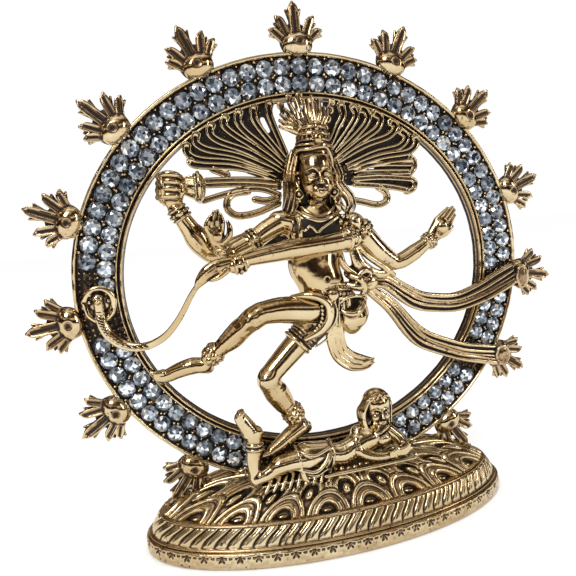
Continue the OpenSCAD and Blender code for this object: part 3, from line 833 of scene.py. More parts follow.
def hair_fan(node_name, reach, strands, web, holes, extra):
    """Strands over a web with holes, darkened with depth as painted shade and patina; extra strands are
    (points, 1 if thick). reach is its span in x.
    """
    c = Clay((reach[0], -2, 59.6), (reach[1], 2.2, 84.2), 0.12)
    g = np.random.default_rng(21)
    c.plate(web, 0.5, 1.2, edge=0.15)
    for _ in range(150):
        x, z = g.uniform(*reach), g.uniform(66, 82)
        if c.sample(np.array([[x, 0.9, z]]))[0] < -0.2:
            c.ball((x, 0.45, z), (g.uniform(0.12, 0.32), 0.25, g.uniform(0.12, 0.3)), 0.05)
    for a, b, r in holes:
        c.cone((a[0], 0.9, a[1]), (b[0], 0.9, b[1]), r, cut=True, k=0.1, flat=4)
    for pts in strands:
        hair_strand(c, pts)
    for pts, w in extra:
        c.tube(lift(pts, 0.2), 0.55 + 0.1 * w, k=0.05, flat=0.8, fine=6)
        ribbed(c, lift(pts, -0.25), [-0.36 - 0.1 * w, 0.36 + 0.1 * w], 0.25)
        c.tube(lift(pts, 0.8), 0.36, fine=6)
    p, q, shade = c.skin()
    y = p[:, 1]
    # Painted shade and patina: darker further back, so the web goes dark; the back faces get fixed lighter
    # values.
    shade = shade + np.clip((y - 0.28) * 2.2, 0, 0.9)
    shade = np.where(y > 0.95, np.where(y > 1.26, 0.12, 0.33), shade)
    cast(node_name, p, q, shade, slot="antiqued_gold")


hair_fan("hair_fan_left", (-24.2, -1.5), HAIR_LEFT,
         [(-3.2, 73), (-5.6, 78), (-6.6, 82.4), (-9.4, 82.2), (-12.2, 81.4), (-14.8, 80.4), (-17.5, 79.1),
          (-20.4, 77.5), (-22.6, 75.9), (-22.6, 73.4), (-20.8, 71.6), (-14, 70.6), (-6.4, 67.6),
          (-3.4, 68)],
         [((-7.7, 79.4), (-6.9, 77.4), 0.5), ((-19.8, 70.2), (-18.9, 70.1), 0.42),
          ((-13.2, 69.75), (-12, 69.6), 0.4), ((-4.9, 80.2), (-4.7, 78.4), 0.45)],
         [([(-5.6, 67.5), (-10, 68.2), (-14.3, 68.5), (-19.6, 68.6)], 0),
          ([(-5.6, 66.6), (-10, 67.3), (-14.3, 67.7), (-19.5, 67.8)], 0),
          ([(-5.8, 65.1), (-9, 66.4), (-12.3, 66.6), (-16, 66), (-20.4, 65)], 0),
          ([(-11.8, 66.2), (-14.6, 65.9), (-15.9, 64.7), (-15.9, 63), (-14.1, 61.8), (-10.5, 62.1),
            (-6.1, 63.6)], 1), ([(-6, 64.7), (-8.5, 64.2), (-10.6, 64.6)], 1),
          ([(-18, 70.6), (-16.6, 70), (-15.4, 69.5)], 1)])
hair_fan("hair_fan_right", (2, 24.6), HAIR_RIGHT,
         [(3.4, 74), (4.6, 78), (4.4, 82.2), (7.6, 82.2), (10, 81.8), (12.8, 81), (15.4, 79.9), (18, 78.5),
          (20.6, 76.8), (23.2, 74.8), (22.8, 72.6), (22.3, 70.6), (22.3, 67.6), (21.6, 64.2), (16.2, 65.2),
          (9.5, 66), (4, 67)],
         [((8.3, 79.2), (7.9, 77.9), 0.42), ((9.9, 76.9), (10.5, 77.8), 0.34),
          ((12, 68.9), (13.8, 69.3), 0.45), ((5.2, 80.9), (4.7, 79.6), 0.5)],
         [([(10.3, 68.4), (15.3, 68.3), (21.3, 68)], 0), ([(9.4, 67.3), (15.3, 67.3), (21.6, 66.6)], 0),
          ([(9.5, 66.2), (16.2, 65.4), (21.1, 64.3)], 0),
          ([(21.3, 70.9), (22.4, 70.2), (22.3, 68.6), (21.2, 67.5)], 0),
          ([(21.2, 66.7), (22.3, 66), (22, 64.6), (20.6, 64)], 0),
          ([(14.5, 65.3), (15.9, 64.2), (16, 62.6), (13.9, 61.9), (10.7, 62.7), (8.6, 63.2)], 1),
          ([(9.6, 69.4), (15, 69.9), (21.6, 69.6)], 0)])

# ---------------------------------------------------------------- head and crown
def head():
    c = Clay((-5.2, -9.2, 58.6), (6.2, 0.6, 74.5), 0.1)
    c.ball((0.6, -3.5, 69.2), (3.1, 3.2, 3.7))
    c.ball((0.45, -4.3, 67), (2.85, 2.7, 4), 0.8)
    c.ball((0.35, -5.9, 64.1), (1.1, 0.95, 0.85), 0.9)
    c.cone((0.4, -3, 59.6), (0.4, -3.4, 64.2), 2, 1.75, 0.5)
    for s in (-1, 1):
        x = lambda v: 0.42 + s * v
        c.ball((x(1.45), -5.7, 65.9), (1, 0.8, 1.2), 1)
        c.ball((x(1.25), -6.75, 67.75), (0.95, 0.7, 0.55), 0.35, cut=True)
        c.ball((x(1.22), -6.25, 67.72), (0.78, 0.62, 0.42), 0.05)
        c.tube([(x(0.45), -6.62, 67.6), (x(1.2), -6.95, 68.05), (x(2.1), -6.3, 67.65)], [0.13, 0.16, 0.12],
               k=0.06)
        c.tube([(x(0.5), -6.6, 67.5), (x(1.25), -6.75, 67.25), (x(2), -6.3, 67.5)], 0.11, k=0.06)
        c.tube([(x(0.35), -6.85, 68.45), (x(1.2), -6.95, 69), (x(2.3), -6, 68.6)], [0.24, 0.25, 0.16],
               k=0.22)
        c.ball((x(0.42), -7.2, 66.25), (0.36, 0.36, 0.3), 0.18)
        c.tube([(x(3.15), -3.6, 68.6), (x(3.6), -3.1, 68.3), (x(3.6), -3.2, 67), (x(3.25), -3.6, 65.9)],
               [0.3, 0.38, 0.36, 0.42], k=0.15)
        c.ball((x(3.2), -3.7, 67.2), (0.3, 0.5, 0.8), 0.1)
        c.hoop((x(3.4), -3.8, 64.7), (0.3, 1, 0), 0.75, 0.26, 0.05)
        c.ball((x(3.4), -4.1, 64.7), 0.42, 0.05)
        c.ball((x(3.4), -3.9, 63.6), (0.3, 0.3, 0.45), 0.05)
    c.tube([(0.42, -6.75, 68.6), (0.42, -7.3, 67.3), (0.42, -7.75, 66.4)], [0.3, 0.34, 0.46], k=0.3)
    c.ball((0.42, -7.7, 66.3), (0.42, 0.42, 0.36), 0.2)
    c.ball((0.42, -6.85, 64.75), (1.2, 0.5, 0.8), 0.9)
    c.tube([(-0.62, -6.95, 65), (0.1, -7.55, 65.22), (0.42, -7.6, 65.1), (0.74, -7.55, 65.22),
            (1.46, -6.95, 65)], [0.12, 0.2, 0.18, 0.2, 0.12])
    c.tube([(-0.5, -6.95, 64.8), (0.42, -7.55, 64.6), (1.34, -6.95, 64.8)], [0.12, 0.27, 0.12])
    c.tube([(-0.55, -7.35, 64.92), (0.42, -7.85, 64.9), (1.4, -7.35, 64.92)], 0.07, cut=True)
    for z in (60.6, 61.7, 62.7):
        c.hoop((0.4, -3.15, z), (0, 0.1, 1), 1.95, 0.07, 0.15, cut=True)
    p, q, shade = c.skin()
    dx, dz = p[:, 0] - 0.5, p[:, 2] - 70.3
    drop = (p[:, 1] < -5) & (np.abs(dz) < 1) & (np.abs(dx) < 0.42 * np.clip(1 - dz, 0, 1) ** 0.6)
    cast("dancer_head", p, q, np.where(drop, 0.9, shade))


def crown():
    c = Clay((-4.6, -7.4, 69), (7.4, 1.6, 84.4), 0.11)
    c.cone((0.7, -2.9, 71.8), (0.9, -2.5, 76.2), 3.1, 2.2)
    c.cone((0.9, -2.4, 76), (1.2, -1.7, 81.2), 2.1, 1.5, 0.4)
    for z, r, w in ((72.9, 3.25, 0.4), (73.9, 3.1, 0.34), (75.1, 2.8, 0.42), (76.3, 2.4, 0.4)):
        c.hoop((0.85, -2.7, z), (0.05, 0.1, 1), r, w, 0.08)
    c.hoop((0.8, -2.75, 74.5), (0.05, 0.1, 1), 2.95, 0.1, 0.05, beads=20, bead=0.3)
    c.hoop((0.85, -2.7, 75.7), (0.05, 0.1, 1), 2.6, 0.1, 0.05, beads=18, bead=0.26)
    rim = [(-3, -3.4, 72.2), (-2.6, -4.6, 72.6), (-1, -5.9, 72.5), (1.2, -6.1, 72.8), (2.5, -5.5, 72.6),
           (3.6, -4.4, 71), (4.1, -3.2, 69.6)]
    c.tube(rim, 0.34)
    c.tube([(x, y + 0.1, z + 0.85) for x, y, z in rim[:5]], 0.24, k=0.05)
    c.tube([(-3, -3.4, 72.2), (-3.3, -3.2, 70.4), (-3.2, -2.8, 69.4)], 0.34)
    c.ball((0.8, -6, 74.3), (0.75, 0.5, 0.95), 0.08)
    c.hoop((0.8, -5.9, 74.3), (0, 1, 0), 0.95, 0.1, 0.05, beads=9, bead=0.2)
    c.ball((0.85, -5.5, 76.3), (0.45, 0.4, 0.75), 0.08)
    for i, x in enumerate(np.linspace(-1.8, 4.2, 9)):
        z = 82.3 - 0.28 * (x - 1.2) ** 2 + 0.35 * (-1) ** i
        side = abs(x - 1.2) / 3
        r = 0.9 + (x - 1) * 0.45
        mid = (r + x) / 2 + 0.12 * (x - 1.2)
        rib = [(r, -4.7 + 1.3 * side, 76.4), (mid, -3.9 + 0.9 * side, (76.6 + z) / 2), (x, -2.4, z)]
        c.tube(rib, [0.4, 0.5, 0.3], k=0.04)
        c.tube([(a, b - 0.36, d) for a, b, d in rib], [0.12, 0.16, 0.1], k=0.03)
    for x, z, r in ((3.6, 77, 0.5), (4.2, 78.6, 0.6), (4.9, 80.2, 0.55), (4, 75.6, 0.4), (5.4, 81.6, 0.45)):
        c.hoop((x, -1.6, z), (0.1, 1, 0.2), r, 0.26, 0.08)
        c.ball((x, -1.6, z), 0.24, 0.05)
        c.cone((x - 0.8, -1.4, z - 1), (x, -1.3, z), 0.4, 0.3, k=0.1)
    p, q, shade = c.skin()
    # Deeper hollow shading, patina and painted shade, and a little darker all over.
    cast("crown", p, q, shade * 1.15 + 0.05)


def crown_plume():
    c = Clay((-6.4, -4, 73), (2, 1.2, 84), 0.11)
    for x, z, y in ((-4.9, 77.6, -1.3), (-4.8, 78.7, -1.2), (-4.5, 79.8, -1.1), (-3.8, 80.8, -1.2),
                    (-2.9, 81.7, -1.4), (-1.7, 82.3, -1.6)):
        p = [(0, -2.4, 75), ((x - 0.3) / 2, y - 0.9, (z + 75.6) / 2), (x, y, z)]
        c.tube(p, [0.5, 0.68, 0.34], k=0.06)
        c.tube([(a, b - 0.42, d + 0.1) for a, b, d in p], [0.16, 0.2, 0.14], k=0.04)
        c.tube([(a, b - 0.3, d - 0.42) for a, b, d in p], [0.14, 0.18, 0.14], k=0.04)
    c.cone((0, -2, 74.2), (-0.6, -1.6, 77.4), 0.9, 0.7, k=0.3)
    for x, z in ((-4.3, 81.6), (-2.6, 82.9), (-0.6, 83.2)):
        c.hoop((x, -0.5, z), (0, 1, 0.2), 0.5, 0.24, 0.08)
        c.cone((x + 0.3, -0.4, z - 1.4), (x, -0.4, z), 0.4, 0.3, k=0.1)
    p, q, shade = c.skin()
    # Deeper hollow shading, patina and painted shade, and a little darker all over.
    cast("crown_plume", p, q, shade * 1.15 + 0.05)


def hair_locks():
    c = Clay((-9.2, -5.2, 59), (10.4, 0.4, 74), 0.12)
    right = [(4.2, -2.6, 70.6), (5, -3, 67.9), (4.9, -3.2, 66.4), (5.8, -3.3, 65), (6.9, -3.3, 63.5),
             (7.1, -3.2, 62), (6.4, -3.2, 60.8)]
    c.tube(right, [0.6, 0.95, 1, 1.05, 1, 0.8, 0.5], flat=0.7)
    ribbed(c, right, [(-0.4, -0.5), (0.25, 0.3), (0.85, 0.85)], (0.2, 0.2), k=0.04, y=-0.62)
    left = [(-3, -2.6, 72.4), (-4, -3, 69.4), (-4.5, -3.3, 67), (-4.7, -3.3, 64.6), (-5.4, -3.2, 62.2)]
    c.tube(left, [0.8, 1.2, 1.25, 1.2, 0.8], flat=0.65)
    ribbed(c, left, [(-0.6, -0.8), 0, (0.6, 0.85)], 0.22, k=0.04, y=-0.68)
    for pts in ([(-4.2, -2.6, 66), (-3.6, -3.4, 63.4), (-4.6, -3.6, 61.4)],
                [(5, -2.6, 66), (4.9, -3.4, 63), (5.9, -3.5, 61.2)],
                [(4.2, -2.6, 64.8), (4.3, -3.6, 62.6), (4.6, -3.6, 61.2)]):
        c.tube(pts, [0.5, 0.5, 0.4], k=0.06)
        c.tube([(a + 0.35, b - 0.3, d) for a, b, d in pts], 0.18, k=0.04)
    c.ball((0.6, -1.3, 67), (5.4, 1.3, 7.4), 0.1)
    for x in (-3.6, -2.4, 3.4, 4.6):
        c.tube([(x * 0.8, -2.5, 72), (x, -2.7, 67), (x * 1.05, -2.5, 62)], 0.3)
    p, q, shade = c.skin()
    # Painted shade: the back of the hair mass is darker with depth, and all of it a little darker.
    deep = np.clip((p[:, 1] + 3) * 0.8, 0, 0.8) * (p[:, 1] < -0.8)
    cast("hair_locks", p, q, shade + 0.1 + deep)


head()
crown()
crown_plume()
hair_locks()

# ---------------------------------------------------------------- torso and jewellery
def torso():
    c = Clay((-11.6, -8.4, 41.4), (11.2, 1.4, 62.6), 0.12)
    c.cone((0.7, -3.2, 45.8), (-0.7, -3.2, 50.5), 4.5, 4.5, flat=0.78)
    c.cone((-1.1, -3.1, 52), (-0.1, -3, 57.2), 4.8, 5.6, 1.4, flat=0.62)
    # A plate that fills the gap behind the blessing arm; its back part is painted near black as shade below.
    c.plate([(-10.6, 57.2), (-11, 55.8), (-5, 54.8), (-4, 59.6), (-7, 59.8)], -2.8, -1.4, k=0.3, edge=0.4)
    c.cone((-6.6, -3, 59.4), (6.8, -3, 58.2), 2, 2, 1.6)
    c.cone((0.4, -3, 58.6), (0.4, -3.1, 61.6), 2.7, 1.9, 1.4)
    c.ball((0, -4.9, 48.3), (3.3, 2, 3.2), 1.4)
    for x, z in ((-2.7, 57.6), (2.9, 56.9)):
        c.ball((x, -5, z), (2.7, 1.5, 2), 0.7)
        c.ball((x * 1.15, -6.45, z - 0.5), (0.3, 0.25, 0.3), 0.08)
    c.tube([(0.1, -6.9, 59.2), (0.2, -6.6, 55.2), (0.1, -7, 52.6)], [0.25, 0.3, 0.2], k=0.5, cut=True)
    c.tube([(-4.6, -5.2, 55.6), (-2.4, -6.3, 54.9), (-0.4, -6.1, 55.2)], 0.14, k=0.3, cut=True)
    c.tube([(4.8, -5.2, 54.8), (2.8, -6.3, 54.2), (0.7, -6.1, 54.9)], 0.14, k=0.3, cut=True)
    c.ball((0.3, -7.1, 48.7), (0.36, 0.6, 0.4), 0.25, cut=True)
    c.ball((-6.2, -3.4, 60), (2.9, 2.2, 1.9), 0.9, turn=(0, 20, 0))
    c.ball((7.2, -3.2, 58.6), (2.3, 2.3, 2.2), 0.8)
    p, q, shade = c.skin()
    # Painted shade: the plate behind the arm is near black, and the upper chest between the straps is dark as
    # painted shade and patina.
    shade = np.where((p[:, 0] < -5.4) & (p[:, 1] > -3.4) & (p[:, 1] < -2) & (p[:, 2] < 58.4), 0.85, shade)
    chest = (p[:, 1] < -4.4) & (np.abs(p[:, 0] + 0.5) < 4.3) & (p[:, 2] > 55.4) & (p[:, 2] < 60.2)
    shade = np.where(chest, 0.62, shade)
    cast("dancer_torso", p, q, shade)


def necklace():
    c = Clay((-6.8, -8.8, 52), (11.2, 0.2, 64.2), 0.11)
    c.ball((7.1, -5.7, 58.9), (1.15, 0.7, 1.2), 0.1)
    c.cone((7.2, -5.7, 58.4), (7.4, -5.9, 57), 0.8, 0.3, k=0.3)
    for x, z in ((5.6, 59.9), (5.2, 58.7), (5.5, 57.5), (9, 58.6), (9.5, 57.6), (9.7, 56.5), (8.8, 55.9)):
        c.ball((x, -5.2, z), 0.52, 0.05)
    c.ball((6.7, -6.9, 55.7), (1, 0.6, 0.95), 0.08)
    for i in range(9):
        c.ball((6.7 + 1.45 * cos(0.7 * i), -6.6, 55.7 + 1.45 * sin(0.7 * i)), 0.34, 0.05)
    for r, w, z in ((0, 0.42, 61.3), (0.9, 0.46, 60.5)):
        c.tube([(-2.6 - r, -2.6, z + 1.5), (-2.6 - r, -4, z + 0.9),
                (-1.7 - r * 0.6, -5.1 - r * 0.5, z - 0.2), (0.2, -5.7 - r * 0.7, z - 1),
                (2.3 + r * 0.6, -5.1 - r * 0.5, z - 0.3), (3.3 + r, -4, z + 0.6), (3.3 + r, -2.6, z + 1.2)],
               w)
    c.tube([(-3.8, -5.4, 60.4), (-3.9, -6.5, 58.6), (-4, -6.5, 56.4), (-3.9, -6.3, 54.6)],
           [0.4, 0.46, 0.46, 0.36], k=0.08)
    wave = [(-4, -6.6, 59), (-3.2, -7, 57.9), (-2.2, -7.1, 58.7), (-1, -7.2, 57.5), (0.2, -7.1, 58.2),
            (2, -6.9, 59.2), (3.4, -6.3, 59.9)]
    c.tube(wave, 0.26, k=0.05)
    for x, y, z, r in ((4, -5.9, 59.2, 0.5), (4.6, -5.5, 60, 0.5), (-3.9, -5.9, 60.1, 0.5),
                       (-4.8, -5.2, 59.6, 0.45)):
        c.ball((x, y, z), r, 0.05)
    c.cast("necklace")


def belt():
    c = Clay((-5.6, -9.4, 42.6), (8.2, 2.2, 50), 0.11)
    tilt = (0.14, 0, 1)
    for z, r, w in ((48, 4, 0.26), (47, 4.15, 0.34), (45.3, 4.3, 0.36)):
        c.hoop((1.35, -3.2, z - 0.2), tilt, r, w, 0.05, flat=0.93)
    c.hoop((1.35, -3.2, 47.3), tilt, 4.05, 0.12, 0.04, beads=30, bead=0.32, flat=0.93)
    c.hoop((1.35, -3.2, 46), tilt, 4.3, 0.2, 0.04, beads=26, bead=0.46, flat=0.93)
    c.hoop((1.35, -3.2, 44.3), tilt, 4.35, 0.12, 0.04, beads=30, bead=0.34, flat=0.93)
    c.ball((1, -7.6, 45.8), (1.1, 0.6, 1), 0.08)
    c.hoop((1, -7.9, 45.8), (0, 1, 0), 0.75, 0.2, 0.04)
    for x in (-2.2, -0.9, 2.6, 3.9):
        y = -3.2 - 0.93 * (4.35**2 - (x - 1.35) ** 2) ** 0.5
        beads(c, [(x, y, 44.2), (x + 0.1, y - 0.2, 43.1)], 0.26, 0.5)
    c.cast("waist_belt")


def cuffs(node_name, rows):
    """Rows are (place, direction of the limb, radius, width, bead)."""
    p = np.array([r[0] for r in rows])
    c = Clay(p.min(0) - 3.6, p.max(0) + 3.6, 0.14)
    for row in rows:
        cuff(c, *row)
    c.cast(node_name)


torso()
necklace()
belt()
cuffs("armlets",
      [((-12.4, -4, 57), (-5, -1, -2.6), 1.75, 1, 0.36), ((8.9, -2.6, 57), (3.4, 0, -4.2), 2.3, 1, 0.4),
       ((5, -5.9, 55.7), (-3.2, -1.8, -0.6), 1.95, 0.9, 0.38)])
cuffs("bracelets",
      [((-15.9, -8.8, 53.1), (-6.4, -0.6, -1.3), 1.25, 1.1, 0.4),
       ((-18.4, -6.7, 56.3), (-0.4, -2, 2), 1.1, 0.8, 0.3),
       ((-24.9, -4, 62.8), (-2.7, -0.4, 4.8), 1.45, 1.2, 0.36),
       ((23.3, -3, 53.9), (3.4, 0, 2), 1.35, 0.8, 0.32)])
cuffs("anklets",
      [((-21.2, -4.25, 37.3), (-3.7, 1.6, -3.1), 1.6, 0.62, 0.4),
       ((-22, -3.95, 36.6), (-3.7, 1.6, -3.1), 1.5, 0.62, 0.4),
       ((-7.6, -2.6, 23.3), (2.9, 1, -4.2), 1.75, 0.68, 0.42),
       ((-7, -2.4, 22.3), (2.9, 1, -4.2), 1.65, 0.68, 0.42)])


# ---------------------------------------------------------------- arms
def crossing_arm():
    c = Clay((-26.4, -11.8, 46.6), (9.4, -0.6, 60.6), 0.13)
    c.tube([(6.6, -4, 57.2), (4.6, -6, 55.6), (-3, -7.4, 55), (-9.6, -8.2, 54.5), (-15.6, -8.8, 53.7)],
           [1.9, 1.9, 1.85, 1.65, 1.15])
    c.ball((-5.6, -7.6, 55), (3.2, 1.8, 1.75), 0.8)
    ribbed(c,
           [(4.6, -6.8, 57.1), (-1, -8.3, 56.4), (-6, -9, 56.2), (-11.6, -9.3, 55.5), (-15.4, -9.4, 54.6)],
           [-0.15, 0.3], 0.2, k=0.15)
    c.tube([(-15.6, -8.8, 53.7), (-17.4, -8.9, 53.4), (-19.4, -9.1, 53), (-21.2, -9.2, 52.3),
            (-22.6, -9.1, 51.1), (-23.5, -9, 49.9)], [1.1, 1.2, 1.5, 1.35, 0.95, 0.42], k=0.3, flat=0.68)
    knuckle = [(-20, -10.1, 53), (-21.4, -10.15, 52.3), (-22.7, -9.9, 51), (-23.4, -9.5, 50)]
    ribbed(c, knuckle, [(off, off * 0.35) for off in (-0.62, -0.05, 0.5)], 0.13, k=0.12, cut=True)
    c.tube([(-18.2, -9.6, 52.3), (-19.6, -10, 51.4), (-21, -9.9, 50.9)], [0.6, 0.48, 0.28], k=0.15)
    # Painted shade: this arm is a little darker all over.
    c.cast("crossing_arm", extra_shade=0.06)


def blessing_arm():
    c = Clay((-23.2, -10.6, 52.4), (-4, 0, 64.8), 0.12)
    c.tube([(-6.4, -3.4, 60), (-9.4, -3.6, 58.6), (-12.3, -4, 57), (-16.6, -4.8, 55.2)],
           [2.1, 1.95, 1.75, 1.5])
    c.tube([(-16.6, -4.8, 55), (-18, -6, 55.2), (-18.5, -7.2, 56.5)], [1.5, 1.35, 1.05], k=0.3)
    c.tube([(-18.5, -7.4, 56.4), (-19, -7.9, 57.6), (-19.3, -8, 58.8)], [1.05, 1.35, 1.5], k=0.3, flat=0.6)
    for pts in ([(-20.2, 58.6), (-20.7, 60.2), (-19.9, 61.7)],
                [(-19.6, 58.8), (-19.8, 60.8), (-19.2, 62.4)],
                [(-18.9, 58.8), (-18.9, 60.9), (-18.6, 62.6)],
                [(-18.3, 58.6), (-18, 60.4), (-18.15, 61.9)]):
        c.tube(lift(pts, (-8.2, -8.4)), [0.5, 0.5, 0.3], k=0.06)
    c.tube([(-18.3, -8.2, 57), (-17.1, -8.5, 58.1), (-16.85, -8.6, 59.5), (-17.1, -8.5, 60.6)],
           [0.6, 0.6, 0.5, 0.28], k=0.12)
    c.ball((-19, -8.7, 58.3), (0.8, 0.4, 0.9), 0.3)
    # Painted shade: this arm is a little darker all over.
    c.cast("blessing_arm", extra_shade=0.06)


def drum_arm():
    c = Clay((-30, -7.6, 51.6), (-9.8, 1.6, 72.6), 0.13)
    c.tube([(-11.2, -1.6, 57.6), (-15.4, -2.2, 56.2), (-18.9, -3, 55), (-21, -3.3, 56.2),
            (-22.6, -3.6, 58.6), (-25, -4, 62.8)], [1.6, 1.75, 1.8, 1.9, 1.9, 1.4])
    c.ball((-22.1, -3.6, 58), (2.1, 1.9, 2.6), 0.7, turn=(0, -28, 0))
    c.tube([(-20.8, -5.4, 55.6), (-22.6, -5.7, 58.6), (-24.8, -5.5, 62)], 0.16, k=0.3, cut=True)
    c.tube([(-25.1, -4, 63.2), (-25.7, -4.2, 65), (-25.9, -4.4, 66.8)], [1.3, 1.6, 1.7], k=0.3, flat=0.75)
    for i, z in enumerate((69.4, 68.2, 67, 65.8)):
        x = -25.9 - 0.12 * i
        c.tube([(x - 1.9, -4, z), (x - 0.6, -5.6, z + 0.1), (x + 0.8, -5.8, z - 0.1),
                (x + 1.8, -4.9, z - 0.5)], [0.6, 0.66, 0.64, 0.5], k=0.08)
    c.tube([(-27.3, -4, 65.4), (-27.6, -4.2, 67), (-27.2, -4.2, 68.8)], [0.9, 1, 0.7], k=0.2)
    c.tube([(-24.9, -4.6, 64.9), (-24.2, -5.3, 66.2), (-24.1, -5.2, 67.6)], [0.6, 0.55, 0.36], k=0.15)
    # Painted shade: this arm is a little darker all over.
    c.cast("drum_arm", extra_shade=0.06)


def drum():
    c = Clay((-29.2, -7.6, 63.2), (-18.8, 0.8, 71.8), 0.12)
    at = V(-24.2, -3.4, 67.5)
    for s in (-1, 1):
        end = at + V(3 * s, 0, -0.35)
        c.cone(at, end, 1.3, 2.5, k=0.15)
        c.plate([(end[0] + 0.4 * s, end[2] - 3.4), (end[0] + 4 * s, end[2] - 3.4),
                 (end[0] + 4 * s, end[2] + 3.4), (end[0] + 0.4 * s, end[2] + 3.4)], -8, 2, k=0.1, cut=True,
                edge=0.02)
        c.ball(end + V(0.35 * s, 0, 0), (0.95, 2.45, 2.45), 0.05)
        c.hoop(end + V(0.1 * s, 0, 0), (1, 0, 0), 2.6, 0.34, 0.05)
        c.hoop(end - V(0.5 * s, 0, 0), (1, 0, 0), 2.35, 0.16, 0.04, beads=16, bead=0.24)
        for i in range(12):
            a = 2 * pi * (i + 0.25 * s) / 12
            c.cone(at + V(0.4 * s, 1.4 * cos(a), 1.4 * sin(a)),
                   end + V(-0.2 * s, 2.45 * cos(a + 0.25), 2.45 * sin(a + 0.25)), 0.14, k=0.04)
    c.hoop(at, (1, 0, 0), 1.35, 0.34, 0.05)
    c.cast("hand_drum")


def flame_arm():
    c = Clay((5.4, -7.4, 46.6), (34, 2.8, 65.4), 0.14)
    c.tube([(7.6, -2.7, 58.4), (9.4, -2.6, 56.4), (12.4, -2.7, 52.8), (15.6, -3, 50.2)],
           [2.3, 2.3, 2.1, 1.5])
    c.tube([(15.4, -3, 50.2), (17.2, -3, 50.5), (20, -3, 51.9), (23.2, -3, 53.9)], [1.4, 1.6, 1.6, 1.15],
           k=0.25)
    ribbed(c, [(9.6, -4.6, 57.2), (12.6, -4.6, 53.6), (15.2, -4.3, 51)], [-0.6, 0.8], 0.16, k=0.15)
    hand(c, (23.8, -3, 54.3), (0.62, 0, 0.68), (0.1, -1, 0.2), 1.62, curl=0.05, spread=-0.14, thumb=0.62)
    c.ball((26, -4, 56.4), (1.2, 0.6, 1.2), 0.3)
    # Painted shade: this arm is a little darker all over.
    c.cast("flame_arm", extra_shade=0.06)


crossing_arm()
blessing_arm()
drum_arm()
drum()
flame_arm()

# ---------------------------------------------------------------- hips and legs
def shorts():
    c = Clay((-9.6, -9.8, 33.4), (8.2, 1.4, 47.8), 0.12)
    c.cone((-0.4, -3.3, 43.6), (3.8, -3, 43.5), 3.4, 3.4, k=0.2)
    c.cone((0.4, -3.8, 43), (-0.2, -4.6, 43.1), 3.2, 3, k=1)
    c.cone((1.6, -2.6, 42.4), (-5, -3, 37.2), 3.5, 2.7, k=1)
    for x in (-0.4, 0.5):
        c.hoop((x, -4.6, 43.1), (1, 0.12, -0.12), 3.1, 0.3, 0.06)
    c.hoop((0.05, -4.6, 43.1), (1, 0.12, -0.12), 3.15, 0.1, 0.04, beads=26, bead=0.3)
    for pts in ([(1.4, -7.7, 45.4), (0.7, -7.9, 43.2), (1.2, -7, 40.6)],
                [(2.1, -7.4, 45.2), (1.8, -7.5, 42.6), (2.2, -6.6, 39.6)],
                [(3, -7, 45.2), (3.2, -6.7, 42.4), (3.2, -6, 39.8)],
                [(4.4, -6.4, 45), (4.8, -5.8, 42.2), (4.4, -5, 40)]):
        c.tube(pts, [0.26, 0.3, 0.22], k=0.12)
    for pts in ([(0.6, -6.4, 40.4), (-1.4, -6.2, 38.6), (-3.2, -5.6, 37.6)],
                [(1.6, -5.8, 38.8), (-0.6, -5.8, 37.2), (-2.4, -5.2, 36)],
                [(-0.8, -6.6, 40.2), (-2.8, -6.2, 39.2), (-4.6, -5.6, 38.6)]):
        c.tube(pts, [0.2, 0.24, 0.18], k=0.12)
    hem = [(-6.2, -5.6, 46), (-3.4, -7.1, 46.2), (-1, -8, 45.3), (0, -8.3, 43.6), (-0.4, -8.1, 41.2),
           (-1.9, -7.3, 39.3), (-4.4, -6.2, 38)]
    c.tube(hem, [0.5, 0.75, 0.8, 0.8, 0.8, 0.75, 0.5])
    c.tube([(x + 1.35, y + 0.3, z - 0.25) for x, y, z in hem[2:6]], 0.3, k=0.12)
    beads(c, [(-1.3, -7.8, 44.8), (-1.3, -8, 42.8), (-1.7, -7.8, 41), (-2.8, -7, 39.4)], 0.36, 0.75)
    n = V(-0.76, -0.08, -0.64)
    at = V(-5.5, -3.05, 36.8)
    c.hoop(at, n, 2.75, 0.42, 0.08)
    c.hoop(at - n * 0.9, n, 2.8, 0.1, 0.05, beads=34, bead=0.24)
    c.hoop(at - n * 1.6, n, 2.85, 0.2, 0.05)
    c.hoop(at - n * 2.3, n, 2.9, 0.3, 0.06)
    c.cast("dancer_shorts")


